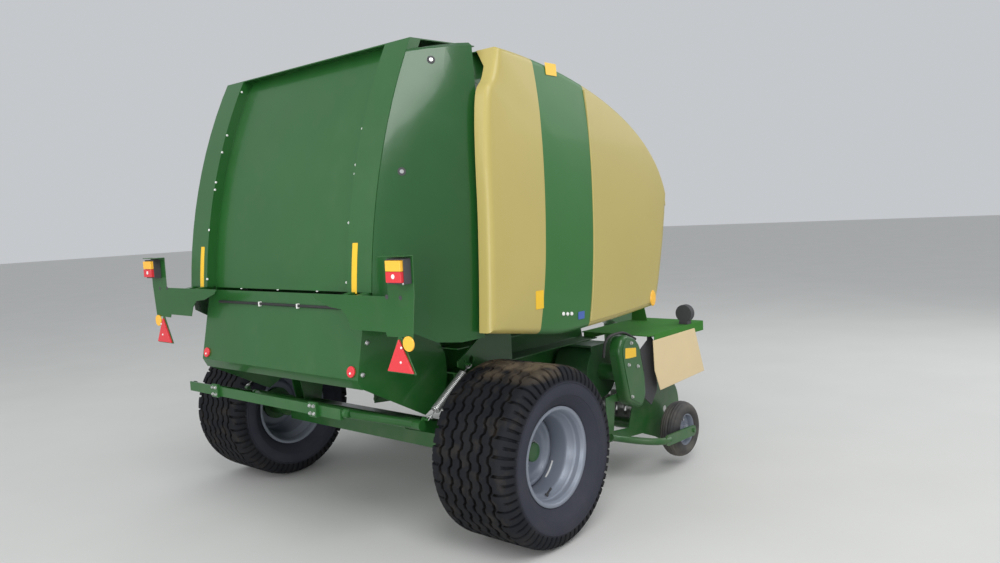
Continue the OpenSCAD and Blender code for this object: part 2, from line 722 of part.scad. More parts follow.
// Platforms over the pickup's ends with a folded edge, and the sheets that hang from them
module shelves() {
  color(paint) placed() pair() {
    translate([beam_x1, 625, shelf_z - 6]) cube([shelf_x1 - beam_x1, shelf_y - 625, 6]);
    translate([1200, shelf_y - 6, shelf_z - 62]) cube([shelf_x1 - 1200, 6, 60]);
    translate([beam_x1, 640, shelf_z - 36]) cube([shelf_x1 - beam_x1 - 40, 60, 32]);
    plate_x(1700, 6) polygon([[640, shelf_z - 1], [760, shelf_z - 1], [720, shelf_z + 180], [660, shelf_z + 200]]);
  }
}
module flaps() {
  color(cream) placed() pair()
    plate_y(shelf_y, 5) polygon([[1175, 800], [1699, 803], [1817, 507], [1242, 491], [1183, 621]]);
}
module front_lamps() {
  color(black) placed() pair()
    translate([1650, shelf_y - 60, shelf_z]) {
      translate([-25, -5, 0]) cube([50, 60, 20]);
      translate([-20, 25, 68]) rotate([0, 90, 0]) cylinder(d = 110, h = 44, $fn = 48);
    }
}

// Lower rear panel's section: its folded edge at the foot, the fold and the top, outer and inner
lower_top = [tail_x(panel_z, panel_recess) + sheet_t - 5, panel_z - 14];
fold_out = [-690, 870];
skirt_out = [-665, skirt_z];
lower_top_in = lower_top + [sheet_t, 0];
fold_in = fold_out + [sheet_t, 0];
skirt_in = skirt_out + [sheet_t, 2];
function lower_x(z) = fold_out[0] + (lower_top[0] - fold_out[0]) * (z - fold_out[1]) / (lower_top[1] - fold_out[1]);

// Tailgate: curved rear face with raised strips, side walls, roof and hinge arms
strip_y0 = wall_y + 2;
strip_y1 = 772;
roof_front = 95;
module tail_outline() {
  intersection() {
    polygon([on_split(150, clear / 2), on_split(split_len, clear / 2), [-175, 935], [-290, 720], skirt_in, fold_in,
      lower_top_in, [-800, panel_z - 14], [-800, 2410], [roof_front, 2420]]);
    translate([tail_cx, tail_z]) circle(tail_r - panel_recess - 1, $fn = 360);
  }
}
module tailgate_shell() {
  color(paint) placed() {
    plate_y(-strip_y0 - 3, 2 * strip_y0 + 6) tail_band(panel_recess, panel_recess + sheet_t, panel_z, roof_z - 2);
    plate_y(-strip_y1, 2 * strip_y1) polygon([[tail_x(roof_z), roof_z - sheet_t], [tail_x(roof_z), roof_z],
      [roof_front, roof_z + 16], [roof_front, roof_z + 16 - sheet_t]]);
    pair() {
      difference() {
        plate_y(strip_y0, strip_y1 - strip_y0) tail_band(0, panel_recess + 8, panel_z + 6, roof_z - 2);
        plate_y(strip_y0 + sheet_t, strip_y1 - strip_y0 - 2 * sheet_t)
          tail_band(sheet_t, panel_recess + 30, panel_z + 6 + sheet_t, roof_z - 3 - sheet_t);
      }
      plate_y(wall_y, wall_t) tail_outline();
      plate_y(wall_out + 5, 16) difference() {
        union() {
          translate([hinge_x, hinge_z]) circle(60, $fn = 64);
          polygon([[hinge_x + 4, hinge_z + 60], [-40, hinge_z + 40], [-60, hinge_z - 330], on_split(330, 30),
            on_split(100, 30), [hinge_x - 20, hinge_z - 56]]);
        }
        translate([hinge_x, hinge_z]) circle(d = hinge_d + 2 * fit, $fn = 64);
      }
      plate_y(wall_out, 5) polygon([[60, hinge_z + 20], [-40, hinge_z + 40], [-60, hinge_z - 330], on_split(330, 30),
        on_split(220, 30)]);
      rod_y(cyl_head[0], cyl_head[1], wall_out, cyl_y - 26, 44);
    }
    for (y = carrier_seats) plate_y(y - 20, 40) polygon([[-carrier_x, panel_z - 34], [-carrier_x, panel_z - 2],
      [-664, panel_z + 8], [-612, panel_z + 8], [-612, panel_z - 6], [-carrier_x + 30, panel_z - 34]]);
  }
}

// Lower rear panel with its folded edge and side plates
lower_half = 668;
module tailgate_lower() {
  color(paint) placed() {
    plate_y(-lower_half, 2 * lower_half)
      polygon([fold_out, lower_top, lower_top_in, fold_in, skirt_in, skirt_out]);
    pair() plate_y(lower_half - 6, 6) polygon([fold_in - [1, 0], skirt_in - [1, 0], [-284, 625], [-150, 690],
      [-118, 790], [-125, 900], [-175, 990], lower_top_in - [1, 0]]);
  }
}

// Corner covers: a narrow facet beside the strip, then a glossy side face that toes out forwards
cover_t = 4;
cover_top = [[0, 2352], [0.02, 2358], [0.25, 2368], [0.5, 2376], [0.75, 2382], [1, 2385]];
cover_foot = [1262, 1130, 1078, 1018, 1004, 1012];
function cover_front(z) = -132 - 46 * (2385 - z) / 1375;
function cover_side(z) = cover_y - 34 * pow(max(0, (z - 1700) / 700), 2);
function cover_point(f, z, lean) =
  let (x0 = tail_x(z) + 30, y0 = 800, s = cover_side(z))
    [x0 + (cover_front(z) - x0) * f, y0 + (s - y0) * f + 44 * f * (1 - f) - lean, z];
module corner_cover() {
  rows = 10;
  grid = [
    for (i = [0 : rows + 2]) [
      for (j = [0 : 6])
        let (
          k = min(j, 5), f = cover_top[k][0],
          t = min(i, rows) / rows,
          z = cover_foot[k] + (cover_top[k][1] - 16 - cover_foot[k]) * t + (i > rows ? 12 : 0) + (i > rows + 1 ? 5 : 0),
          p = cover_point(f, z, 0),
          seam = strip_y1 + fit,
          y = j == 0 ? seam : i == rows + 1 ? p[1] - 14 : i == rows + 2 ? seam + 0.2 * j : p[1],
          x = j == 0 ? tail_x(z) + 4 : p[0]
        ) [x, j == 6 ? y - (i > rows + 1 ? 0 : 24) : y, z + (j == 6 ? 0.5 : 0)]
    ]
  ];
  flipped = [for (row = grid) [for (k = [0 : 6]) row[6 - k]]];
  sheet_on(flipped, cover_t, strip_y1 + fit);
}
module corner_covers() {
  color(paint) placed() pair() corner_cover();
}

// Sheets at the tailgate's foot that carry the lamps
carrier_x = 721;
carrier_t = 4;
carrier_seats = [-740, -640, 640, 740];
column_in = 945;
column_out = 1108;
column_top = 1432;
sign_y = 1003;
sign_z = [947, 1085];
sign_half = 78;
module light_carriers() {
  color(paint) placed() pair() {
    plate_x(-carrier_x - carrier_t, carrier_t) polygon([
      [410, panel_z + 1], [column_in, panel_z + 1], [column_in, column_top], [column_out, column_top],
      [column_out - 2, 1275], [column_out - 24, 1096], [1076, 1058], [1046, 1058], [1046, 1094], [sign_y + 10, 1094],
      [sign_y + sign_half + 10, sign_z[0] - 6], [sign_y - sign_half - 10, sign_z[0] - 6], [sign_y - 10, 1094],
      [958, 1092], [925, 1092], [918, 1110], [690, 1109], [667, 1160], [625, 1196], [545, 1204], [435, 1239]]);
    translate([-carrier_x - 50, column_in, column_top]) cube([50, column_out - column_in, carrier_t]);
  }
}
lamp_y = 1045;
lamp_z = 1372;
module lamp_housings() {
  color(black) placed() pair() difference() {
    translate([-carrier_x - carrier_t - 40, lamp_y - 52, lamp_z - 52]) cube([40, 104, 104]);
    translate([-carrier_x - carrier_t - 41, lamp_y - 46, lamp_z - 46]) cube([21, 92, 92]);
  }
}
module red_lenses() {
  color(red) placed() pair() {
    translate([-carrier_x - carrier_t - 55, lamp_y - 45, lamp_z - 45]) cube([35, 90, 44]);
    plate_x(-carrier_x - carrier_t - 10, 10)
      polygon([[sign_y - sign_half, sign_z[0]], [sign_y + sign_half, sign_z[0]], [sign_y, sign_z[1]]]);
    translate([lower_x(906), 622, 906]) rotate([0, -90 + atan2(lower_top[0] - fold_out[0], lower_top[1] - fold_out[1]), 0])
      translate([0, 0, fit]) cylinder(d = 52, h = 9, $fn = 40);
  }
}
module amber_lenses() {
  color(amber) placed() pair() {
    translate([-carrier_x - carrier_t - 55, lamp_y - 45, lamp_z + 1]) cube([35, 90, 44]);
    translate([-carrier_x - carrier_t - 8, 1060, 1070]) rotate([0, 90, 0]) cylinder(d = 64, h = 8, $fn = 40);
  }
}

// Moulded side hoods, rounded all round, with a deep return along the top where they hinge
hood_top = [[-87, 2352], [430, 2320], [1290, 2120], [1438, 1663]];
hood_edge = [
  [1388, 1402, 110], [1318, 1145, 80], [1261, 1000, 60], [900, 978, 50], [563, 965, 50], [326, 961, 50],
  [100, 992, 50], [-236, 1042, 50], [-219, 1290, 78], [-206, 1583, 78], [-203, 1826, 78], [-195, 2020, 78],
  [-176, 2150, 78], [-134, 2208, 78], [-104, 2290, 78],
];
function bezier(c, t) =
  pow(1 - t, 3) * c[0] + 3 * t * pow(1 - t, 2) * c[1] + 3 * t * t * (1 - t) * c[2] + pow(t, 3) * c[3];
hood_outline = concat(
  [for (i = [0 : 11]) let (p = bezier(hood_top, i / 11)) [p[0], p[1], p[0] < 200 ? 140 : p[0] < 800 ? 262 : 140]],
  hood_edge
);
function inset_point(p, i, d) =
  let (
    n = len(p), a = p[(i + n - 1) % n], b = p[(i + 1) % n],
    u = [b[0] - a[0], b[1] - a[1]], l = norm(u)
  ) [p[i][0] + d * u[1] / l, p[i][1] - d * u[0] / l];
hood_mid = [580, 1640];
function hood_ring(y, d, pull, deep) = [
  for (i = [0 : len(hood_outline) - 1])
    let (p = inset_point(hood_outline, i, d), q = p + pull * (hood_mid - p))
      [q[0], deep ? hood_y - hood_outline[i][2] : y, q[1]]
];
module hood_half() {
  r = hood_r;
  t = hood_t;
  capped_loft([
    hood_ring(hood_y + hood_bulge, r, 0.7, false), hood_ring(hood_y + 0.6 * hood_bulge, r, 0.3, false),
    hood_ring(hood_y, r, 0, false), hood_ring(hood_y - 0.293 * r, 0.293 * r, 0, false),
    hood_ring(hood_y - r, 0, 0, false), hood_ring(0, 0, 0, true), hood_ring(0, t, 0, true),
    hood_ring(hood_y - r, t, 0, false), hood_ring(hood_y - 0.293 * r - 0.7 * t, 0.293 * r + 0.7 * t, 0, false),
    hood_ring(hood_y - t, r, 0, false), hood_ring(hood_y + 0.6 * hood_bulge - t, r, 0.3, false),
    hood_ring(hood_y + hood_bulge - t, r, 0.7, false),
  ]);
}
function hood_top_z(x) = lookup(x, [for (i = [0 : 11]) let (p = bezier(hood_top, i / 11)) [p[0], p[1]]]);
module hood() {
  color(cream) placed() {
    hood_half();
    for (x = hood_pins) difference() {
      plate_x(x - 20, 36) union() {
        translate([hood_hinge_y, hood_hinge_z]) circle(13, $fn = 32);
        polygon([[hood_hinge_y, hood_hinge_z - 13], [hood_hinge_y + 34, hood_hinge_z - 6],
          [hood_hinge_y + 34, hood_top_z(x) - 3], [hood_hinge_y + 20, hood_top_z(x) - 3], [hood_hinge_y, hood_hinge_z + 13]]);
      }
      translate([x - 25, hood_hinge_y, hood_hinge_z]) rotate([0, 90, 0])
        cylinder(d = hood_pin_d + 2 * fit, h = 50, $fn = 32);
    }
  }
}
module hood_left() { hood(); }
module hood_right() { mirror([0, 1, 0]) hood(); }

// Pickup: arms round the rotor's bearings, cross tube, side panels and the gauge wheels' arms
tube_x = rotor_x + 262;
tube_z = rotor_z - 372;
tube_d = 66;
arm_in = wall_out + 5;
arm_t = 14;
arm_r = 52;
module pickup_frame() {
  color(paint) placed() {
    rod_y(tube_x, tube_z, -pickup_y + 3, pickup_y - 3, tube_d);
    pair() {
      plate_y(arm_in, arm_t) difference() {
        union() {
          translate([rotor_x, rotor_z]) circle(98, $fn = 64);
          slot2d([rotor_x + 20, rotor_z - 30], [tube_x, tube_z], arm_r);
        }
        translate([rotor_x, rotor_z]) circle(d = bearing_d + 2 * fit, $fn = 64);
        translate([tube_x, tube_z]) circle(d = tube_d + 2 * fit, $fn = 48);
      }
      plate_y(pickup_y - 5, 5) difference() {
        union() {
          translate([reel_x - 10, reel_z + 6]) circle(reel_d / 2 + 16, $fn = 96);
          polygon([[arm_foot[0] - 22, arm_foot[1] + 230], [arm_foot[0] - 22, arm_foot[1] - 28],
            [tube_x - 40, tube_z - 40], [reel_x - 40, reel_z - reel_d / 2 - 6],
            [reel_x + 60, reel_z + reel_d / 2 + 10], [tube_x + 30, tube_z + 270], [tube_x - 180, tube_z + 262]]);
        }
        translate([reel_x, reel_z]) circle(d = 40 + 2 * fit, $fn = 48);
        polygon([[arm_foot[0] + 70, arm_foot[1] + 190], [arm_foot[0] + 48, arm_foot[1] + 24],
          [tube_x - 190, tube_z + 30], [tube_x - 130, tube_z + 190]]);
      }
      plate_y(pickup_y - 5, 5) slot2d(guard_pivot, guard_pivot + [60, -90], 26);
      rod_y(guard_pivot[0], guard_pivot[1], guard_half - 15, pickup_y - 2, guard_pin_d);
      gauge_arm();
    }
  }
}
arm_foot = [rotor_x - 140, rotor_z - 348];
gauge_pin_d = 24;
module gauge_arm() {
  arm_y = gauge_y + gauge_w / 2 + 26;
  bends = [
    [arm_foot[0], pickup_y + 10, arm_foot[1]], [tube_x - 252, pickup_y + 12, tube_z - 22],
    [tube_x - 222, arm_y - 6, gauge_z + 14], [tube_x - 92, arm_y, gauge_z + 12],
  ];
  bent_tube([for (i = [0 : 12]) bezier(bends, i / 12)], 40);
  plate_y(arm_y - 6, 12) slot2d([tube_x - 110, gauge_z + 12], [gauge_x, gauge_z], 31);
  rod_y(gauge_x, gauge_z, gauge_y - gauge_w / 2 + 10, arm_y + 16, gauge_pin_d);
}

// Bands over the reel, with a gap for each column of tines
module strippers() {
  pitch = 2 * (pickup_y - 20) / tine_columns;
  tine_gap = 16;
  band_w = pitch - tine_gap;
  color(silver) placed() {
    difference() {
      for (i = [0 : tine_columns - 1])
        plate_y(-pickup_y + 20 + i * pitch + tine_gap / 2, band_w) difference() {
          union() {
            translate([reel_x, reel_z]) circle(reel_d / 2 - 55, $fn = 64);
            polygon([[reel_x - 20, reel_z + reel_d / 2 - 55], [tube_x - 10, reel_z + 150], [tube_x - 10, reel_z + 146],
              [reel_x - 20, reel_z + reel_d / 2 - 60]]);
            polygon([[reel_x, reel_z - reel_d / 2 + 55], [tube_x - 10, tube_z - 29], [tube_x - 10, tube_z - 36],
              [reel_x, reel_z - reel_d / 2 + 50]]);
          }
          translate([reel_x, reel_z]) circle(reel_d / 2 - 58, $fn = 64);
          translate([tube_x, tube_z]) circle(d = tube_d + 2 * fit, $fn = 48);
        }
      pair() plate_y(arm_in - 1, arm_t + 2) translate([tube_x, tube_z]) circle(arm_r + 1, $fn = 48);
    }
  }
}

// Tined reel on its shaft
module pickup_reel() {
  pitch = 2 * (pickup_y - 20) / tine_columns;
  color(steel) placed() {
    rod_y(reel_x, reel_z, -pickup_y + 1, pickup_y - 1, 40);
    for (k = [0 : tine_bars - 1]) translate([reel_x, 0, reel_z]) rotate([0, 360 * k / tine_bars, 0]) {
      translate([70, -pickup_y + 24, -14]) cube([28, 2 * pickup_y - 48, 28]);
      for (i = [1 : tine_columns - 1])
        translate([90, -pickup_y + 20 + i * pitch - 3, -3]) cube([reel_d / 2 - 90, 6, 6]);
    }
    for (y = [-pickup_y + 30, -8, pickup_y - 46]) rod_y(reel_x, reel_z, y, y + 16, 176);
  }
}

gauge_seat = 36;
module gauge_tyre(side) {
  color(rubber) placed() translate([gauge_x, side * gauge_y, gauge_z]) rotate([90, 0, 0])
    rotate_extrude($fn = 64) difference() {
      union() {
        translate([gauge_d / 2 - 48, 0]) scale([1, gauge_w / 96]) circle(48, $fn = 40);
        translate([gauge_d / 2 - 80, -34]) square([40, 68]);
      }
      for (i = [-1.5 : 1 : 1.5]) translate([gauge_d / 2 - 5, i * 20 - 2]) square([10, 4]);
      square([2 * (gauge_d / 2 - 80), 400], center = true);
      for (w = [gauge_seat, -gauge_seat - 40]) translate([0, w]) square([gauge_d / 2 - 72 + fit, 40]);
    }
}
module gauge_rim(side) {
  seat = gauge_d / 2 - 80 - fit;
  hub_r = gauge_pin_d / 2 + 16;
  color(silver) placed() translate([gauge_x, side * gauge_y, gauge_z]) rotate([-90 * side, 0, 0])
    rotate_extrude($fn = 64) polygon([
      [seat + 8, gauge_seat + 6], [seat + 8, gauge_seat + fit], [seat, gauge_seat + fit],
      [seat, -gauge_seat - fit], [seat + 8, -gauge_seat - fit], [seat + 8, -gauge_seat - 6],
      [seat - 4, -gauge_seat - 6], [seat - 4, 4], [hub_r, 12], [hub_r, -42], [gauge_pin_d / 2 + fit, -42],
      [gauge_pin_d / 2 + fit, 42], [hub_r, 42], [hub_r, 18], [seat - 4, 10], [seat - 4, gauge_seat + 6],
    ]);
}
module gauge_tyre_right() { gauge_tyre(-1); }
module gauge_tyre_left() { gauge_tyre(1); }
module gauge_rim_right() { gauge_rim(-1); }
module gauge_rim_left() { gauge_rim(1); }

// Crop guard: a tube on two arms with curved fingers
guard_pivot = [tube_x + 108, tube_z + 252];
guard_arm = [300, 22];
guard_half = 862;
guard_pin_d = 24;
finger_count = 16;
module windguard() {
  reach = guard_pivot + guard_arm;
  pitch = (2 * guard_half - 100) / (finger_count - 1);
  color(paint) placed() {
    rod_y(reach[0], reach[1], -guard_half + 12, guard_half - 12, 44);
    pair() plate_y(guard_half - 12, 12) difference() {
      slot2d(guard_pivot, reach, 26);
      translate(guard_pivot) circle(d = guard_pin_d + 2 * fit, $fn = 32);
    }
    for (i = [0 : finger_count - 1]) translate([reach[0], -guard_half + 50 + i * pitch, reach[1] - 6])
      rotate([0, -92, 0]) cylinder(d = 12, h = 190, $fn = 16);
  }
}

// Bale kicker: a sprung frame behind the axle that swings down under the bale
kick_pivot = [-150, 520];
kick_tube = [-387, 607];
kick_bar = [-785, 735];
module ejector() {
  color(paint) placed() {
    rod_y(kick_pivot[0], kick_pivot[1], -660, 660, 50);
    rod_y(kick_tube[0], kick_tube[1], 24 - spring_y, spring_y - 24, 50);
    pair() {
      plate_y(640, 10) slot2d(kick_pivot, kick_tube, 30);
      plate_y(spring_y - 32, 8) slot2d(kick_tube, spring_low, 12);
      rod_y(spring_low[0], spring_low[1], spring_y - 32, spring_y + 5, spring_pin_d);
      rod([kick_tube[0], 690, kick_tube[1]], [kick_bar[0] + 30, 460, kick_bar[1] - 4], 44);
    }
    translate([kick_bar[0], -650, kick_bar[1] - 25]) cube([8, 1300, 50]);
    translate([kick_bar[0], -650, kick_bar[1] - 25]) cube([60, 1300, 8]);
  }
}

// Extension springs from the kicker's tube to the chassis
spring_top = [-62, 846];
spring_low = [-372, 634];
spring_pin_d = 12;
wire_d = 7;
coil_r = 19.5;
module ejector_springs() {
  run = spring_top - spring_low;
  l = norm(run);
  coil_z0 = 44;
  turns = floor((l - 2 * coil_z0) / wire_d);
  hook = spring_pin_d / 2 + fit;
  color(silver) placed() pair()
    translate([spring_low[0], spring_y, spring_low[1]]) rotate([0, 90 - atan2(run[1], run[0]), 0]) {
      rotate_extrude($fn = 40) polygon([
        [0, coil_z0], for (i = [0 : turns - 1]) each [[coil_r - 2, coil_z0 + i * wire_d], [coil_r, coil_z0 + (i + 0.5) * wire_d]],
        [coil_r - 2, coil_z0 + turns * wire_d], [0, coil_z0 + turns * wire_d],
      ]);
      translate([0, 0, hook]) cylinder(d = wire_d, h = coil_z0 + 1 - hook, $fn = 16);
      translate([0, 0, coil_z0 + turns * wire_d - 1]) cylinder(d = wire_d, h = l - hook - coil_z0 - turns * wire_d + 1, $fn = 16);
    }
}

// Hydraulic cylinders that lift the tailgate, each a barrel and a rod
cyl_run = cyl_head - cyl_foot;
cyl_len = norm(cyl_run);
barrel_d = 70;
rod_d = 40;
barrel_end = 900;
module on_cylinder(side) {
  placed() translate([cyl_foot[0], side * cyl_y, cyl_foot[1]])
    rotate([0, 90 - atan2(cyl_run[1], cyl_run[0]), 0]) children();
}
module cylinder_barrel(side) {
  color(dark_paint) on_cylinder(side) difference() {
    union() {
      rotate([90, 0, 0]) cylinder(d = 68, h = 32, center = true, $fn = 48);
      translate([0, 0, 20]) cylinder(d = 50, h = 30, $fn = 48);
      translate([0, 0, 44]) cylinder(d = barrel_d, h = barrel_end - 44, $fn = 48);
    }
    rotate([90, 0, 0]) cylinder(d = cyl_pin_d + 2 * fit, h = 60, center = true, $fn = 48);
    translate([0, 0, 60]) cylinder(d = 54, h = barrel_end - 90, $fn = 48);
    translate([0, 0, 60]) cylinder(d = rod_d + 2 * fit, h = barrel_end, $fn = 48);
  }
}
module cylinder_rod(side) {
  color(silver) on_cylinder(side) difference() {
    union() {
      translate([0, 0, 66]) cylinder(d = 52, h = 24, $fn = 48);
      translate([0, 0, 70]) cylinder(d = rod_d, h = cyl_len - 90, $fn = 48);
      translate([0, 0, cyl_len]) rotate([90, 0, 0]) cylinder(d = 64, h = 28, center = true, $fn = 48);
    }
    translate([0, 0, cyl_len]) rotate([90, 0, 0]) cylinder(d = cyl_pin_d, h = 60, center = true, $fn = 48);
  }
}
module cylinder_right() { cylinder_barrel(-1); }
module cylinder_left() { cylinder_barrel(1); }
module rod_right() { cylinder_rod(-1); }
module rod_left() { cylinder_rod(1); }

main_frame();
chamber_front();
front_conveyor();
axle();
drawbar();
hitch_eye();
gearbox();
jack_tube();
jack_leg();
net_box();
net_lid();
feed_channel();
shelves();
flaps();
drive_guards();
front_lamps();
tailgate_shell();
tailgate_lower();
corner_covers();
light_carriers();
lamp_housings();
red_lenses();
amber_lenses();
tailgate_conveyor();
hood_right();
hood_left();
tyre_right();
tyre_left();
rim_right();
rim_left();
hub_right();
hub_left();
pickup_frame();
strippers();
pickup_reel();
gauge_tyre_right();
gauge_tyre_left();
gauge_rim_right();
gauge_rim_left();
windguard();
feed_rotor();
ejector();
ejector_springs();
cylinder_right();
cylinder_left();
rod_right();
rod_left();
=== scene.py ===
"""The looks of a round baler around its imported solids.

Places are worked out in metres from the wheel axle on the ground: X forward along the drawbar,
Y to the left and Z up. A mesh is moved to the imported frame's origin as it is made.
"""

import json
import logging
import math
from contextlib import contextmanager
from dataclasses import dataclass, field
from enum import Enum
from typing import Callable, Iterator, Sequence

import bmesh
import bpy
import numpy as np
from mathutils import Matrix, Vector
from mathutils.bvhtree import BVHTree

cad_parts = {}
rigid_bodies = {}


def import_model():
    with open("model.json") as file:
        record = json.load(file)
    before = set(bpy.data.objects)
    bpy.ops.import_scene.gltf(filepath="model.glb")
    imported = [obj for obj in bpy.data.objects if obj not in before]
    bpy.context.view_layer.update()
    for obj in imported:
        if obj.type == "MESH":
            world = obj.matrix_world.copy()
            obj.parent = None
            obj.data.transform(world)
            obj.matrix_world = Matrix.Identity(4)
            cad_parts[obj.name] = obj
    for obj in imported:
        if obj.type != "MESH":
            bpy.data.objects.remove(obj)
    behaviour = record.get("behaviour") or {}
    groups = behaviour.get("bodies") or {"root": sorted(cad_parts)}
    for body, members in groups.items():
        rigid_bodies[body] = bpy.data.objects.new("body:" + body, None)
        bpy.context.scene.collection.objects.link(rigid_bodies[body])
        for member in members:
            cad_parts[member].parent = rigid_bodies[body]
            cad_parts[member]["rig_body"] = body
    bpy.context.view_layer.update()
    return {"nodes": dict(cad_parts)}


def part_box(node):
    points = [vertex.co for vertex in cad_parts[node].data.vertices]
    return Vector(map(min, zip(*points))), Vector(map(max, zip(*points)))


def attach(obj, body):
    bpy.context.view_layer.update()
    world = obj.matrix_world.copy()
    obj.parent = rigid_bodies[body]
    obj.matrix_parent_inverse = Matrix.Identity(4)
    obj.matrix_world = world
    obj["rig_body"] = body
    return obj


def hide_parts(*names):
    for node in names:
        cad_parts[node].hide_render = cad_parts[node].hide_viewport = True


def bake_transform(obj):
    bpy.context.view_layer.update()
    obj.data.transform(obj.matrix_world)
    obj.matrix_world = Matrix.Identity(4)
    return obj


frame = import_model()
log = logging.getLogger("round_baler")

AXLE_X = float((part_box("tyre_right")[0].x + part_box("tyre_right")[1].x) / 2)
AXLE_Z = 0.433
TRACK_HALF = 1.05
SIDES = {"right": -1, "left": 1}
Array = np.ndarray
Point = Sequence[float]
ORIGIN, UP = (0.0, 0.0, 0.0), (0.0, 0.0, 1.0)
FULL_TURN = 2 * np.pi


# Shader maths


def shader_operator(operation: str, swapped: bool = False) -> Callable:
    """A method of Val that adds one Math node.

    Args:
        operation: The node's operation.
        swapped: Whether the other value comes first.

    Returns:
        The method.
    """
    def method(self: "Val", other: "Val | float") -> "Val":
        """Adds the node and gives its value."""
        return self.graph.math(operation, *((other, self) if swapped else (self, other)))
    return method


@dataclass
class Val:
    """A shader socket that takes part in sums: an expression on it adds the Math nodes."""

    graph: "Graph"
    socket: bpy.types.NodeSocket

    __add__ = __radd__ = shader_operator("ADD")
    __sub__ = shader_operator("SUBTRACT")
    __rsub__ = shader_operator("SUBTRACT", swapped=True)
    __mul__ = __rmul__ = shader_operator("MULTIPLY")
    __truediv__ = shader_operator("DIVIDE")
    __pow__ = shader_operator("POWER")

    def __abs__(self) -> "Val":
        """The value without its sign."""
        return self.graph.math("ABSOLUTE", self)

    def above(self, edge: "Val | float", soft: float) -> "Val":
        """A mask that rises from 0 to 1 over a width of soft around edge: (self - edge) / soft + 1/2."""
        return self.graph.math("ADD", (self - edge) / soft, 0.5, clamp=True)


class Graph:
    """The nodes of one material."""

    def __init__(self, name: str) -> None:
        """Starts an empty material."""
        self.material = bpy.data.materials.new(name)
        self.material.use_nodes = True
        self.tree = self.material.node_tree
        self.tree.nodes.clear()

    def node(self, kind: str, inputs: dict, output: int | str = 0, **settings: object) -> Val:
        """Adds a node.

        Args:
            kind: The node's type, without the words that every type starts with.
            inputs: Values or links of its sockets, by name or number.
            output: The socket that is wanted.
            settings: The node's settings, set before its inputs.

        Returns:
            The wanted output.
        """
        made = self.tree.nodes.new("ShaderNode" + kind)
        for key, value in settings.items():
            setattr(made, key, value)
        for key, value in inputs.items():
            if isinstance(value, Val):
                self.tree.links.new(value.socket, made.inputs[key])
            else:
                made.inputs[key].default_value = value
        return Val(self, made.outputs[output] if made.outputs else None)

    def math(self, operation: str, first: Val | float, second: Val | float = 0.0, clamp: bool = False) -> Val:
        """A Math node on one or two values."""
        return self.node("Math", {0: first, 1: second}, operation=operation, use_clamp=clamp)

    def place(self) -> tuple[Val, Val, Val]:
        """The three object coordinates, with X measured from the axle."""
        split = self.node("SeparateXYZ", {0: self.node("TexCoord", {}, "Object")})
        x, y, z = (Val(self, socket) for socket in split.socket.node.outputs)
        return x - AXLE_X, y, z

    def noise(self, scale: float, detail: float = 3.0, stretch: tuple = (1.0, 1.0, 1.0)) -> Val:
        """Noise of so many patches a metre, stretched along the axes."""
        coords = self.node("Mapping", {"Vector": self.node("TexCoord", {}, "Object"), "Scale": stretch})
        return self.node("TexNoise", {"Vector": coords, "Scale": scale, "Detail": detail})

    def blend(self, first: Val | tuple, second: Val | tuple, share: Val | float) -> Val:
        """A colour between two colours."""
        first, second = (c if isinstance(c, Val) else (*c, 1.0) for c in (first, second))
        return self.node("Mix", {0: share, 6: first, 7: second}, 2, data_type="RGBA")

    def bump(self, height: Val, depth: float) -> Val:
        """A normal tilted by a height of so many metres."""
        return self.node("Bump", {"Height": height, "Distance": depth, "Strength": 1.0})

    def finish(self, **sockets: Val | float | tuple) -> bpy.types.Material:
        """Joins a Principled shader to the output.

        Args:
            sockets: Its sockets by name, with _ for a space.

        Returns:
            The finished material.
        """
        named = {key.replace("_", " "): value for key, value in sockets.items()}
        self.node("OutputMaterial", {0: self.node("BsdfPrincipled", named)})
        return self.material


# Finishes

GREEN = (0.0147, 0.096, 0.0175)
CREAM = (0.457, 0.377, 0.118)
BAND_GREENS = ((0.022, 0.132, 0.024), (0.026, 0.150, 0.028))
DUST = (0.30, 0.27, 0.21)
SOIL = (0.150, 0.115, 0.075)
TREAD_BLACK = (0.013, 0.014, 0.018)
# Partly painted reflection: the sidewall's grey is the rubber's, its blue tint a painted sky reflection
WALL_GREY_AND_SKY_SHEEN = (0.040, 0.042, 0.058)
# Painted shade: the near black of the rubber sunk in the tyre's grooves and slots
PAINTED_GROOVE_SHADE = (0.004, 0.004, 0.005)


@dataclass(frozen=True)
class BowedEdge:
    """One edge of the hoods' green band: a parabola of height."""

    crest: float
    bow: float
    reach: float

    def x(self, z: Val | Array) -> Val | Array:
        """The edge's X at height z: reach - bow * (z - crest) ^ 2."""
        return self.reach - self.bow * (z - self.crest) ** 2


BAND_REAR = BowedEdge(1.75, 0.115, 0.190)
BAND_FRONT = BowedEdge(1.70, 0.092, 0.597)


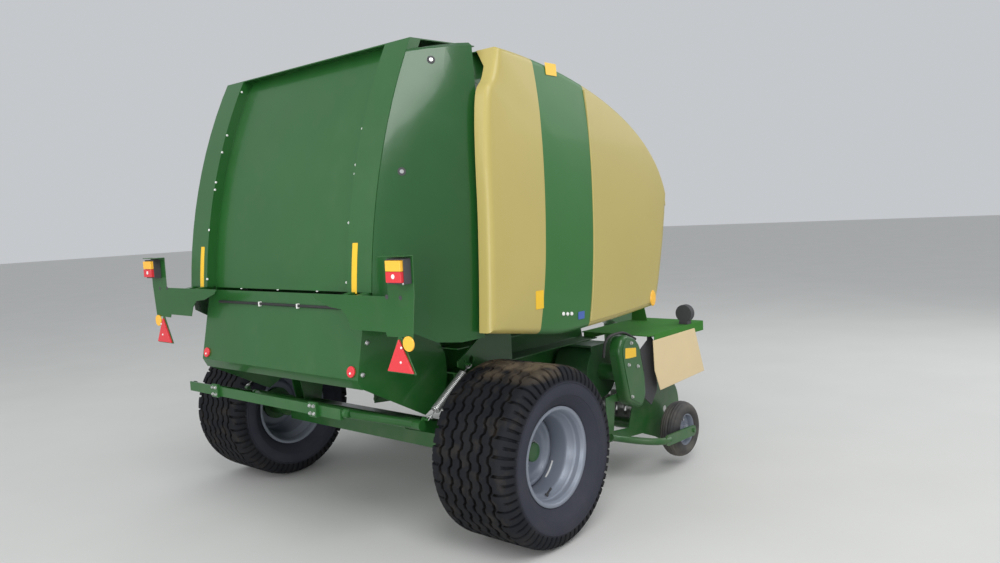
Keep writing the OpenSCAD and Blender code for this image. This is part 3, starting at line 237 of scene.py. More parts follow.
@dataclass(frozen=True)
class Finish:
    """A surface: one colour that varies, a roughness that varies and a fine relief."""

    name: str
    colour: tuple
    rough: float
    slot: str = "paint"
    metal: float = 0.0
    coat: float = 0.0
    mottle: float = 0.12
    mottle_size: float = 2.5
    relief_size: float = 260.0
    relief: float = 0.00006
    dust: float = 0.12
    dust_top: float = 0.55
    stretch: tuple = (1.0, 1.0, 1.0)
    spec: float = 0.5

    def base(self, graph: Graph) -> Val:
        """The colour before dust: the finish's own, a little darker and paler in patches."""
        dark, pale = (tuple(min(1.0, c * (1 + m)) for c in self.colour) for m in (-self.mottle, self.mottle))
        return graph.blend(dark, pale, graph.noise(self.mottle_size, 4.0))

    def height(self, graph: Graph) -> Val:
        """The relief's height, from 0 to 1."""
        return graph.noise(self.relief_size, 2.0, self.stretch)

    def material(self) -> bpy.types.Material:
        """The material, built once: its colour under dust that gathers in patches near the ground."""
        found = bpy.data.materials.get(self.name)
        if found:
            return found
        graph = Graph(self.name)
        patches = graph.noise(9.0, 5.0)
        low = 1 - graph.place()[2].above(self.dust_top, 0.9)
        dusty = (low * patches.above(0.52, 0.3) + 0.15 * patches.above(0.6, 0.2)) * self.dust
        return graph.finish(
            Base_Color=graph.blend(self.base(graph), DUST, dusty),
            Roughness=graph.math("ADD", patches * 0.10 + self.rough - 0.05, dusty * 0.5, clamp=True),
            Metallic=self.metal, Specular_IOR_Level=self.spec, Coat_Weight=self.coat, Coat_Roughness=0.08,
            Normal=graph.bump(self.height(graph), self.relief))


@dataclass(frozen=True)
class HoodFinish(Finish):
    """Cream moulded plastic with a broad green band between two bowed edges."""

    flat_y: float = 1.04

    def base(self, graph: Graph) -> Val:
        """Cream, and green on the flat face between the band's edges."""
        x, y, z = graph.place()
        band = x.above(BAND_REAR.x(z), 0.002) * (1 - x.above(BAND_FRONT.x(z), 0.002))
        green = graph.blend(*BAND_GREENS, graph.noise(3.0))
        return graph.blend(super().base(graph), green, band * abs(y).above(self.flat_y, 0.004))


@dataclass(frozen=True)
class TyreFinish(Finish):
    """Worn rubber: black in the tread with painted shade in its grooves, grey-blue on the wall partly as a
    painted sky reflection, with dried soil on top.
    """

    tread_r: float = 0.433

    def base(self, graph: Graph) -> Val:
        """Rubber: near black in slots and grooves as painted shade, grey on the wall and ribs with a painted
        sky reflection in its blue tint, with soil on the crown.
        """
        x, y, z = graph.place()
        up = z - AXLE_Z
        reach = graph.math("SQRT", x * x + up * up)
        across = abs(abs(y) - TRACK_HALF)
        rubber = graph.blend(self.colour, TREAD_BLACK, across.above(0.185, 0.03))
        # The wall's grey-blue: partly the rubber's own grey, partly a painted sky reflection
        rubber = graph.blend(rubber, WALL_GREY_AND_SKY_SHEEN, 1 - reach.above(self.tread_r - 0.075, 0.02))
        # Painted shade: rubber sunk below the tread's face, in the grooves and slots, is darkened to near
        # black
        groove_shade = (1 - reach.above(self.tread_r - 0.004, 0.004)) * (1 - across.above(0.178, 0.01))
        rubber = graph.blend(rubber, PAINTED_GROOVE_SHADE, groove_shade)
        top = z.above(AXLE_Z + 0.40, 0.05) * graph.noise(5.0, 3.0).above(0.50, 0.12)
        rear = (1 - x.above(0.10, 0.15)) * top
        spots = graph.noise(14.0, 6.0).above(0.62, 0.16)
        soil = graph.math("ADD", rear * 0.8, spots * 0.10, clamp=True)
        return graph.blend(rubber, SOIL, soil * reach.above(self.tread_r - 0.05, 0.03))


@dataclass(frozen=True)
class LensFinish(Finish):
    """A moulded lens with a lattice of small prisms behind its face."""

    prisms: float = 520.0

    def height(self, graph: Graph) -> Val:
        """Prisms: the product of two waves across the lens."""
        waves = [graph.math("SINE", v * self.prisms) for v in graph.place()[1:]]
        return waves[0] * waves[1] * 0.5 + 0.5


class Finishes:
    """The machine's finishes."""

    paint = Finish("green_paint", GREEN, 0.34, coat=0.25, relief=0.00003, spec=0.4)
    cover = Finish("green_cover_gloss", (0.012, 0.080, 0.016), 0.24, coat=0.28, relief_size=60.0,
                   relief=0.00004, dust=0.05)
    dark = Finish("dark_green_paint", (0.018, 0.080, 0.024), 0.40, coat=0.15)
    # Partly painted sheen: the shelves' green paint is made paler, with little gloss, to stand for the sky's
    # sheen on their tops
    deck_paint_and_sheen = Finish("green_shelf_paint_and_painted_sheen", (0.044, 0.190, 0.030), 0.75, spec=0.12)
    hood = HoodFinish("cream_hood_plastic", CREAM, 0.40, "hood", coat=0.12, mottle=0.05, relief_size=420.0,
                      relief=0.00003, dust=0.08, spec=0.4)
    # Partly painted highlight: the flaps are cream like the hoods, and their paler, pinker colour stands for
    # the strong light on them
    apron = Finish("cream_flap_and_painted_highlight", (0.72, 0.57, 0.33), 0.60, mottle=0.07, relief_size=700.0,
                   relief=0.00008, dust=0.05)
    tyre = TyreFinish("tyre_rubber", (0.009, 0.010, 0.013), 0.75, "tyre", relief_size=330.0,
                      relief=0.00012, dust=0.03, spec=0.12)
    gauge_tyre = Finish("gauge_tyre_rubber", (0.024, 0.024, 0.027), 0.6, "gauge_tyre", relief_size=330.0,
                        relief=0.0001, dust=0.3)
    rim = Finish("silver_rim_paint", (0.235, 0.262, 0.318), 0.44, "rim", 0.30, 0.08, 0.06, dust=0.06)
    zinc = Finish("zinc_plate", (0.58, 0.59, 0.58), 0.34, "zinc", 0.9, relief_size=500.0, relief=0.00003,
                  dust=0.1)
    chrome = Finish("chrome_rod", (0.72, 0.73, 0.74), 0.10, metal=1.0, mottle=0.02, relief=0.00001, dust=0.0)
    steel = Finish("worn_slat_steel", (0.30, 0.30, 0.30), 0.42, metal=0.85, stretch=(1.0, 0.08, 1.0),
                   relief=0.00009)
    black = Finish("black_plastic", (0.012, 0.012, 0.014), 0.50, "black_plastic", relief_size=600.0,
                   dust=0.05, spec=0.3)
    hose = Finish("black_hose", (0.013, 0.013, 0.014), 0.5, "black_plastic", relief_size=900.0,
                  relief=0.0001, dust=0.15)
    red = LensFinish("red_lens", (0.50, 0.008, 0.008), 0.20, "red_lens", 0.0, 0.35, 0.04, relief=0.0006,
                     dust=0.0)
    amber = LensFinish("amber_lens", (0.90, 0.25, 0.010), 0.20, "amber_lens", 0.0, 0.35, 0.04,
                       relief=0.0006, dust=0.0)
    yellow = Finish("yellow_sticker", (0.86, 0.52, 0.02), 0.35, mottle=0.03, relief=0.00001, dust=0.05)
    white = Finish("white_sticker", (0.80, 0.80, 0.78), 0.35, "zinc", mottle=0.02, relief=0.00001, dust=0.05)
    blue = Finish("blue_sticker", (0.05, 0.12, 0.42), 0.35, "hood", mottle=0.03, relief=0.00001, dust=0.05)


# Forms


class Plane(Enum):
    """The plane of an outline: the number is the axis that it is pushed out along."""

    XZ = 1
    XY = 2


def mm(points: Sequence) -> Array:
    """Points written in millimetres, in metres."""
    return np.array(points, float) * 0.001


@dataclass
class Form:
    """Points in metres from the axle, and faces as arrays with one row of corners a face."""

    points: Array
    faces: list[Array]

    def __add__(self, other: "Form") -> "Form":
        """Both forms in one."""
        return Form(np.vstack([self.points, other.points]),
                    self.faces + [f + len(self.points) for f in other.faces])

    def placed(self, matrix: Array) -> "Form":
        """The form carried by a 4 by 4 matrix."""
        return Form(self.points @ matrix[:3, :3].T + matrix[:3, 3], self.faces)

    def scaled(self, x: float, y: float, z: float) -> "Form":
        """The form stretched along the axes."""
        return Form(self.points * (x, y, z), self.faces)

    def repeated(self, matrices: Array) -> "Form":
        """The form once for each matrix: every matrix acts on all the points at once."""
        moved = np.einsum("kij,nj->kni", matrices[:, :3, :3], self.points) + matrices[:, None, :3, 3]
        shift = np.arange(len(matrices))[:, None, None] * len(self.points)
        return Form(moved.reshape(-1, 3), [(f[None] + shift).reshape(-1, f.shape[1]) for f in self.faces])

    def inverted(self) -> "Form":
        """The form with its faces turned over."""
        return Form(self.points, [f[:, ::-1] for f in self.faces])

    def paired(self) -> "Form":
        """The form on both sides."""
        return self + self.scaled(1, -1, 1).inverted()


def joined(forms: Sequence[Form]) -> Form:
    """All the forms in one."""
    return sum(forms[1:], start=forms[0])


def grid(points: Array, around: bool = False, along: bool = False, caps: bool = False) -> Form:
    """Quads between the neighbours of a grid of points.

    Args:
        points: Rows by columns by 3.
        around: Whether the last column joins the first.
        along: Whether the last row joins the first.
        caps: Whether the first and last row are closed by one face each.

    Returns:
        The form.
    """
    rows, cols = points.shape[:2]
    i = np.arange(rows if along else rows - 1)[:, None]
    j = np.arange(cols if around else cols - 1)[None, :]
    after, beside = (i + 1) % rows * cols, (j + 1) % cols
    quads = np.stack([i * cols + j, i * cols + beside, after + beside, after + j], -1).reshape(-1, 4)
    ends = [np.arange(cols)[None, ::-1], np.arange(cols)[None] + (rows - 1) * cols] if caps else []
    return Form(points.reshape(-1, 3), [quads, *ends])


def unit(vectors: Array) -> Array:
    """Vectors divided by their length."""
    return vectors / np.maximum(np.linalg.norm(vectors, axis=-1, keepdims=True), 1e-12)


def circle(steps: int) -> Array:
    """So many equal angles round a full turn."""
    return np.linspace(0, FULL_TURN, steps, endpoint=False)


def cross_frame(axis: Point) -> tuple[Array, Array, Array]:
    """Two directions square to an axis, and the axis itself."""
    w = unit(np.array(axis, float))
    hint = np.array(UP) if abs(w[2]) < 0.9 else np.array((1.0, 0.0, 0.0))
    u = unit(np.cross(hint, w))
    return u, np.cross(w, u), w


def standing(origin: Point, axis: Point, turn: float = 0.0) -> Array:
    """The matrix that stands a form, made along Z at the origin, on a place and an axis.

    Args:
        origin: The place.
        axis: The direction that the form's Z takes.
        turn: How far it is turned about that axis, in radians.

    Returns:
        A 4 by 4 matrix.
    """
    u, v, w = cross_frame(axis)
    matrix = np.eye(4)
    c, s = math.cos(turn), math.sin(turn)
    matrix[:3] = np.stack([u * c + v * s, v * c - u * s, w, origin], 1)
    return matrix


def revolved(profile: Sequence, steps: int = 48, loop: bool = False, origin: Point = ORIGIN,
             axis: Point = UP) -> Form:
    """A profile of (radius, height) turned round an axis: radius by cosine and sine of the angle.

    Args:
        profile: Points of radius and height.
        steps: How many angles.
        loop: Whether the profile closes on itself; otherwise its ends lie on the axis.
        origin: Where the height is 0 on the axis.
        axis: The axis' direction.

    Returns:
        The form.
    """
    u, v, w = cross_frame(axis)
    angle = circle(steps)[None, :, None]
    radius, height = np.array(profile, float).T[:, :, None, None]
    points = np.array(origin) + radius * (np.cos(angle) * u + np.sin(angle) * v) + height * w
    return grid(points, around=True, along=loop)


def tube(path: Array, radius: float | Array, sides: int = 12, up: Point = UP) -> Form:
    """A round section carried along a path: at each point a circle square to the path's direction.

    Args:
        path: Points in a row.
        radius: One radius, or one for each point.
        sides: Corners of the section.
        up: A direction that the path never follows, which keeps the section from twisting.

    Returns:
        The form, closed at both ends.
    """
    along = unit(np.gradient(path, axis=0))
    u = unit(np.cross(np.array(up, float), along))[:, None]
    v = np.cross(along, u[:, 0])[:, None]
    angle = circle(sides)[None, :, None]
    size = np.broadcast_to(radius, (len(path),))[:, None, None]
    return grid(path[:, None] + size * (np.cos(angle) * u + np.sin(angle) * v), around=True, caps=True)


def spline(points: Sequence, steps: int) -> Array:
    """A smooth curve through points: Catmull and Rom's cubic between each two neighbours."""
    p = np.array(points, float)
    p = np.vstack([2 * p[0] - p[1], p, 2 * p[-1] - p[-2]])
    t = np.linspace(0, 1, steps, endpoint=False)[None, :, None]
    a, b, c, d = (p[k:len(p) - 3 + k, None] for k in range(4))
    curve = 0.5 * (2 * b + (c - a) * t + (2 * a - 5 * b + 4 * c - d) * t**2 + (3 * b - a - 3 * c + d) * t**3)
    return np.vstack([curve.reshape(-1, p.shape[1]), p[-2]])


def filleted(outline: Sequence, radius: float, steps: int = 4) -> Array:
    """An outline with each corner rounded by a parabola between points at radius along its two edges."""
    p = np.array(outline, float)
    before, after = np.roll(p, 1, 0) - p, np.roll(p, -1, 0) - p
    lengths = [np.linalg.norm(e, axis=1, keepdims=True) for e in (before, after)]
    a, b = (p + e / n * np.minimum(radius, 0.48 * n) for e, n in zip((before, after), lengths))
    t = np.linspace(0, 1, steps)[None, :, None]
    return ((1 - t) ** 2 * a[:, None] + 2 * t * (1 - t) * p[:, None] + t**2 * b[:, None]).reshape(-1, 2)


def inset(outline: Array, depth: float) -> Array:
    """An outline moved inwards by depth along its corners' mean normals."""
    edge = unit(np.roll(outline, -1, 0) - outline)
    normal = np.stack([-edge[:, 1], edge[:, 0]], 1)
    mean = unit(normal + np.roll(normal, 1, 0))
    square = np.maximum((mean * normal).sum(1, keepdims=True), 0.4)
    x, y = outline.T
    sense = np.sign((x * np.roll(y, -1) - np.roll(x, -1) * y).sum())
    return outline + sense * depth * mean / square


def layered(rings: Sequence[tuple[Array, float | Array]], plane: Plane) -> Form:
    """Outlines at heights along the plane's third axis, joined in a row and closed at both ends."""
    return grid(np.stack([np.insert(ring, plane.value, height, axis=1) for ring, height in rings]),
                around=True, caps=True)


def plate(outline: Sequence, low: float, high: float, plane: Plane, edge: float = 0.0012) -> Form:
    """A flat plate: an outline pushed out square to its plane, with its edges broken.

    Args:
        outline: Points of the plane's two coordinates.
        low: Where it starts along the third.
        high: Where it ends.
        plane: The outline's plane.
        edge: Width of the broken edge.

    Returns:
        The form.
    """
    shape = np.array(outline, float)
    inner = inset(shape, edge)
    return layered([(inner, low), (shape, low + edge), (shape, high - edge), (inner, high)], plane)


def block(low: Point, high: Point, edge: float) -> Form:
    """A box between two corners, with its edges broken."""
    (x0, y0, z0), (x1, y1, z1) = low, high
    return plate([(x0, y0), (x1, y0), (x1, y1), (x0, y1)], z0, z1, Plane.XY, edge)


def disc(radius: float, height: float, edge: float = 0.0012, steps: int = 24) -> Form:
    """A short cylinder along Z from the origin, with a broken upper edge."""
    profile = [(0, 0), (radius, 0), (radius, height - edge), (radius - edge, height), (0, height)]
    return revolved(profile, steps)


def bolt_head(size: float) -> Form:
    """A washer and a hexagon head of that width over the corners, along Z from the origin."""
    head = np.array([(0, 0.1), (0.5, 0.1), (0.5, 0.55), (0.43, 0.66), (0, 0.66)]) * size
    washer = np.array([(0, 0), (0.625, 0), (0.625, 0.12), (0, 0.12)]) * size
    return revolved(head, 6) + revolved(washer, 14)


def pan_head(size: float) -> Form:
    """A round domed head of that diameter, along Z from the origin."""
    return revolved(np.array([(0, 0), (0.5, 0), (0.5, 0.14), (0.4, 0.3), (0.2, 0.38), (0, 0.4)]) * size, 14)


def fasteners(head: Form, places: Sequence, axis: Point) -> Form:
    """A head at each place, all along one axis."""
    return head.repeated(np.stack([standing(place, axis, 0.4 * k) for k, place in enumerate(places)]))


def bezier(points: Array, t: Array) -> Array:
    """A cubic through four control points: their mean weighted by Bernstein's polynomials of t."""
    a, b, c, d = points
    t = t[:, None]
    return (1 - t) ** 3 * a + 3 * t * (1 - t) ** 2 * b + 3 * t**2 * (1 - t) * c + t**3 * d


# Pieces


@contextmanager
def editing(mesh: bpy.types.Mesh) -> Iterator[bmesh.types.BMesh]:
    """An editable copy of a mesh, written back at the end."""
    work = bmesh.new()
    work.from_mesh(mesh)
    yield work
    work.to_mesh(mesh)
    work.free()


def make_piece(name: str, form: Form, finish: Finish, body: str | None, replaces: str = "",
               sharp: float = 32.0) -> bpy.types.Object:
    """Makes a mesh of a form, with its faces turned outwards, and sets it on a body of the machine.

    Args:
        name: The piece's name.
        form: Its points and faces.
        finish: Its finish.
        body: The body that carries it.
        replaces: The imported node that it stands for, if any.
        sharp: The angle in degrees past which an edge stays sharp.

    Returns:
        The object.
    """
    mesh = bpy.data.meshes.new(name)
    corners = np.concatenate([f.ravel() for f in form.faces]).astype(np.int32)
    counts = np.concatenate([np.full(len(f), f.shape[1]) for f in form.faces])
    mesh.vertices.add(len(form.points))
    mesh.vertices.foreach_set("co", (form.points + (AXLE_X, 0, 0)).astype(np.float32).ravel())
    mesh.loops.add(len(corners))
    mesh.loops.foreach_set("vertex_index", corners)
    mesh.polygons.add(len(counts))
    starts = np.concatenate([[0], np.cumsum(counts)[:-1]])
    mesh.polygons.foreach_set("loop_start", starts.astype(np.int32))
    mesh.update(calc_edges=True)
    mesh.validate()
    with editing(mesh) as work:
        bmesh.ops.remove_doubles(work, verts=work.verts, dist=1e-6)
        bmesh.ops.dissolve_degenerate(work, edges=work.edges, dist=1e-6)
        bmesh.ops.recalc_face_normals(work, faces=work.faces)
    return set_out(mesh, finish, body, replaces, sharp)


def set_out(mesh: bpy.types.Mesh, finish: Finish, body: str | None, replaces: str,
            sharp: float) -> bpy.types.Object:
    """Gives a mesh its shading, finish and body, and returns its object; with no body it rides none."""
    mesh.shade_smooth()
    mesh.set_sharp_from_angle(angle=math.radians(sharp))
    mesh.materials.clear()
    mesh.materials.append(finish.material())
    piece = bpy.data.objects.new(mesh.name, mesh)
    bpy.context.scene.collection.objects.link(piece)
    if body:
        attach(piece, body)
    if replaces:
        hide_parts(replaces)
    log.info("%s: %d faces", mesh.name, len(mesh.polygons))
    return piece


@dataclass
class DressedNodes:
    """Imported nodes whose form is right: merged copies with softened edges and a finish.

    Faces within the angle flat are one face, and an edge past the angle corner is softened.
    """

    edge: float = 0.0014
    weld: float = 2e-5
    flat: float = 0.6
    corner: float = 40.0
    groups: tuple = (
        (Finishes.paint, "main_frame chamber_front"), (Finishes.steel, "front_conveyor"),
        (Finishes.paint, "axle drawbar"), (Finishes.dark, "hitch_eye gearbox"),
        (Finishes.paint, "jack_tube"), (Finishes.zinc, "jack_leg"), (Finishes.paint, "net_box net_lid"),
        (Finishes.dark, "feed_channel"), (Finishes.deck_paint_and_sheen, "shelves"),
        (Finishes.paint, "tailgate_shell tailgate_lower light_carriers"),
        (Finishes.steel, "tailgate_conveyor"), (Finishes.paint, "pickup_frame"),
        (Finishes.zinc, "strippers"), (Finishes.paint, "windguard"), (Finishes.steel, "feed_rotor"),
        (Finishes.paint, "ejector"), (Finishes.dark, "cylinder_right cylinder_left"),
        (Finishes.chrome, "rod_right rod_left"), (Finishes.cover, "corner_covers"),
        (Finishes.black, "lamp_housings front_lamps"), (Finishes.red, "red_lenses"),
        (Finishes.amber, "amber_lenses"), (Finishes.apron, "flaps"), (Finishes.zinc, "pickup_reel"),
    )
    plain: tuple = ("front_conveyor", "tailgate_conveyor", "feed_rotor", "rod_right", "rod_left", "strippers")

    def dress(self, node: str, finish: Finish) -> None:
        """Copies a node's mesh, merges its doubled points and flat triangles, and bevels its edges.

        Args:
            node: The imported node's name.
            finish: Its finish.
        """
        source = frame["nodes"][node]
        mesh = source.data.copy()
        mesh.name = node + "_dressed"
        with editing(mesh) as work:
            bmesh.ops.remove_doubles(work, verts=work.verts, dist=self.weld)
            bmesh.ops.dissolve_limit(work, angle_limit=math.radians(self.flat), verts=work.verts,
                                     edges=work.edges)
        piece = set_out(mesh, finish, source["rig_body"], node, 30.0)
        if node not in self.plain:
            bevel = piece.modifiers.new("soft_edges", "BEVEL")
            bevel.width = self.edge
            bevel.segments = 2
            bevel.limit_method = "ANGLE"
            bevel.angle_limit = math.radians(self.corner)
            bevel.harden_normals = False
            piece.modifiers.new("flat_faces", "WEIGHTED_NORMAL").keep_sharp = True

    def build(self) -> None:
        """Dresses every node in the groups."""
        for finish, nodes in self.groups:
            for node in nodes.split():
                self.dress(node, finish)


@dataclass
class Sided:
    """A sub-assembly that is built once on each side."""

    side: str

    @property
    def sense(self) -> int:
        """The side's sign along Y."""
        return SIDES[self.side]

    @property
    def axis(self) -> Point:
        """The direction that faces out of the machine."""
        return (0, self.sense, 0)


@dataclass
class Wheel(Sided):
    """A wheel about an axle along Y."""

    x: float = 0.0
    z: float = AXLE_Z
    middle: float = TRACK_HALF

    def turned(self, radius: Array | float, outward: Array | float, angle: Array | float) -> Array:
        """Points at a radius and angle about the axle and a distance outward from the wheel's middle."""
        return np.stack(np.broadcast_arrays(
            self.x + radius * np.cos(angle), self.sense * (self.middle + outward),
            self.z + radius * np.sin(angle)), -1)

    def ring(self, loop: Array, steps: int) -> Form:
        """A closed profile of radius and distance outward, turned right round."""
        return grid(self.turned(loop[None, :, 0], loop[None, :, 1], circle(steps)[:, None]),
                    around=True, along=True)


@dataclass
class MainWheel(Wheel):
    """A wide flotation tyre on a deep rim, with its hub; its profiles are radius and place outward in mm."""

    # Half the tyre's section: the shoulder, the wall and the bead
    wall: tuple = (
        (433, 160), (433, 166), (432.5, 174), (431.8, 184), (429.5, 195), (425.5, 205.5), (420.5, 213.5),
        (415, 220), (407, 226.5), (397, 232.5), (386, 237), (376, 239.8), (369, 241), (365, 241.4),
        (361.5, 241.6), (358, 241.8), (356.2, 244.4), (352.8, 244.6), (350.8, 242), (338, 243.2),
        (322, 243.6), (304, 242), (296, 239.8), (294.5, 237.2), (284, 232.5), (273, 225.5), (262, 216),
        (257, 213.5), (250, 205), (244, 199), (240.5, 193.5), (232, 190.5), (218.5, 190), (218.2, 150))
    # Half the rim's barrel, from the dish over the flange to the inner well
    barrel: tuple = (
        (184.7, 106), (187.6, 119), (190.5, 122.5), (192.5, 126.2), (202.6, 142.5), (204.2, 148),
        (206.2, 152), (208.8, 154.8), (211, 160), (211.6, 177), (213, 182), (216, 186), (218.5, 194),
        (221.5, 198.5), (226.5, 200.5), (234.5, 200.5), (238.5, 199), (238.8, 193), (234.5, 190),
        (216.5, 188), (216.5, 150), (190, 112))
    # The rim's dish: its inner face inwards to the hub's hole, then its outer face back
    dish: tuple = (
        (184.7, -16), (176, 9), (169.5, 18.5), (164, 20.5), (158, 18.5), (150.5, 6.5), (142, -5), (136, -7.8),
        (120, -8), (46, -8), (46, 2), (120, 2), (134, 2.2), (139.5, 5.5), (150, 20.5), (155, 27.5), (160, 30),
        (167, 30.2), (172.2, 27.5), (178, 15.5), (184.7, 4))
    # The cap, the hole through it, the flange behind the disc and the sleeve
    flange: tuple = (
        (0, 60), (30, 59.7), (40.5, 58.5), (45.5, 56), (47.2, 52), (47.2, 44), (45, 41.5), (42.8, 40.5),
        (42.8, 2), (43.5, -10), (100, -10), (100, -30), (66, -32), (66, -162), (35.6, -162), (35.6, -21.7),
        (0, -21.7))
    tread_r: float = 0.433
    grooves: tuple = (-0.145, -0.087, -0.029, 0.029, 0.087, 0.145)
    groove_depth: float = 0.0140
    slot_depth: float = 0.0125
    swing: float = 0.0075
    fade: tuple = ((0.155, 1), (0.160, 0.9), (0.166, 0.7), (0.174, 0.4), (0.184, 0.1), (0.195, 0))
    lugs: int = 64
    disc_w: float = 0.002
    nut_count: int = 6
    nut_r: float = 0.069
    white_bar_section: tuple = ((185.2, 37.5), (181.5, 38.5), (180.8, 40), (180.8, 44), (181.5, 45.5), (185.2, 46.5))
    white_bar_arc: tuple = (-57, -28)
    valve_ends: tuple = ((0.1965, 0.131, -1.641), (0.1610, 0.149, -1.535))
    valve_radii: tuple = (
        (0, 9.5), (0.14, 9.5), (0.2, 8.5), (0.24, 6), (0.62, 4.8), (0.66, 5.6), (0.98, 5.6), (1.0, 4.5))

    def tyre(self) -> Form:
        """The tyre: a profile of radius over width, turned round, with its grooves pressed in.

        A groove is four columns, two on the rib and two at its foot, and all the tread's columns shift
        sideways together by a stepped wave of the angle. Shoulder slots push their columns inwards
        along the profile's normal at three of every six angles: all of them start above the wall's ring,
        and every second one runs on over the shoulder to the outer groove.

        Returns:
            The form.
        """
        ribs = [(self.tread_r - self.groove_depth * deep, g + step) for g in self.grooves
                for step, deep in ((-0.0095, 0), (-0.006, 1), (0.006, 1), (0.0095, 0))]
        wall = mm(self.wall)
        profile = np.vstack([wall[::-1] * (1, -1), ribs, wall])
        radius, across = profile.T
        fade = np.interp(np.abs(across), *np.transpose(self.fade)) * (radius > 0.41)
        step = np.array([0.0, 0.31, 0.365, 0.5, 0.635, 0.69])
        angle = ((np.arange(self.lugs)[:, None] + step) / self.lugs * FULL_TURN).ravel()
        slot = np.tile([0, 0, 1, 1, 1, 0], self.lugs)
        long_slot = np.repeat(np.arange(self.lugs) % 2, 6)
        wave = (angle / FULL_TURN * self.lugs / 2) % 1
        swing = self.swing * np.interp(wave, [0, 0.165, 0.335, 0.665, 0.835, 1], [-1, -1, 1, 1, -1, -1])
        slope = np.gradient(profile, axis=0)
        normal = unit(np.stack([-slope[:, 1], slope[:, 0]], 1))
        normal *= np.sign((normal * (profile - (0.33, 0))).sum(1, keepdims=True))
        foot = np.clip((radius - 0.3612) / 0.006, 0, 1) * (np.abs(across) > 0.163)
        short = foot * np.clip((0.4235 - radius) / 0.006, 0, 1)
        depth = self.slot_depth * slot[:, None] * np.where(long_slot[:, None] > 0, foot, short)
        pressed = (radius - depth * normal[:, 0], across + swing[:, None] * fade - depth * normal[:, 1])
        return grid(self.turned(*pressed, angle[:, None]), around=True, along=True)

    def hub(self) -> Form:
        """The flange behind the disc and the lipped cap that stands through it."""
        return revolved(mm(self.flange), origin=self.turned(0.0, self.disc_w, 0.0), axis=self.axis)

    def white_bar(self) -> Form:
        """A low white bar bent along the barrel beside the disc."""
        angle = np.radians(np.linspace(*self.white_bar_arc, 16))[:, None]
        bar = mm(self.white_bar_section)
        return grid(self.turned(bar[None, :, 0], bar[None, :, 1], angle), around=True, caps=True)

    def nuts(self) -> Form:
        """The wheel nuts round the cap and the studs through them."""
        places = self.turned(self.nut_r, self.disc_w, circle(self.nut_count) + 0.3)
        return (fasteners(bolt_head(0.025), places, self.axis)
                + fasteners(disc(0.0062, 0.028, steps=10), places, self.axis))

    def valve(self) -> Form:
        """The rubber valve stem, leaning out of the barrel's slope, with its collar and cap."""
        foot, tip = (self.turned(*end) for end in self.valve_ends)
        t, radii = np.array(self.valve_radii).T
        return tube(foot * (1 - t[:, None]) + tip * t[:, None], mm(radii), 14)

    def build(self) -> None:
        """Makes the wheel's pieces."""
        s, body = self.side, f"wheel_{self.side}"
        barrel = mm(self.barrel)
        rim = self.ring(np.vstack([mm(self.dish), barrel, barrel[::-1] * (1, -1)]), 120)
        make_piece(f"tyre_{s}_treaded", self.tyre(), Finishes.tyre, body, f"tyre_{s}", 26)
        make_piece(f"rim_{s}_rolled", rim, Finishes.rim, body, f"rim_{s}", 40)
        make_piece(f"hub_{s}_capped", self.hub(), Finishes.paint, body, f"hub_{s}", 40)
        make_piece(f"wheel_nuts_{s}", self.nuts(), Finishes.zinc, body)
        make_piece(f"valve_{s}", self.valve(), Finishes.black, body)
        make_piece(f"wheel_white_bar_{s}", self.white_bar(), Finishes.white, body)


@dataclass
class GaugeWheel(Wheel):
    """A small ribbed wheel beside the pickup."""

    # The rim's section: radius and place outward in mm
    rim: tuple = (
        (96.5, 40), (96.5, 44), (89, 44), (85, 36), (83, 14), (60, 8), (40, 16), (31, 30), (31, 42),
        (12.5, 42), (12.5, -42), (31, -42), (31, -10), (60, 2), (83, -12), (85, -36), (89, -44), (96.5, -44),
        (96.5, -40), (88.5, -36), (88.5, 36))
    x: float = 1.42
    z: float = 0.219
    middle: float = 1.128
    radius: float = 0.169
    half: float = 0.062
    section_r: float = 0.044
    grooves: float = 3.5

    def tyre(self) -> Form:
        """An oval section turned round, with shallow grooves pressed into its crown."""
        t = np.linspace(0, FULL_TURN, 97)[:-1]
        r = self.radius - self.section_r - self.section_r * np.cos(t)
        w = self.half * np.sin(t)
        rib = np.sin(w / self.half * np.pi * self.grooves) ** 2
        crown = np.clip((r - self.radius + 0.020) / 0.008, 0, 1)
        r = r - 0.0042 * crown * np.clip((0.55 - rib) * 4, 0, 1)
        return self.ring(np.stack([np.maximum(r, self.radius - 0.0725), w], 1), 96)

    def build(self) -> None:
        """Makes the wheel's pieces, with the five bolts that hold the rim's halves together."""
        s, body = self.side, f"gauge_{self.side}"
        nuts = fasteners(bolt_head(0.014), self.turned(0.055, 0.0095, circle(5)), self.axis)
        make_piece(f"gauge_tyre_{s}_ribbed", self.tyre(), Finishes.gauge_tyre, body, f"gauge_tyre_{s}", 30)
        make_piece(f"gauge_rim_{s}_pressed", self.ring(mm(self.rim), 72), Finishes.rim, body,
                   f"gauge_rim_{s}", 35)
        make_piece(f"gauge_nuts_{s}", nuts, Finishes.zinc, body)


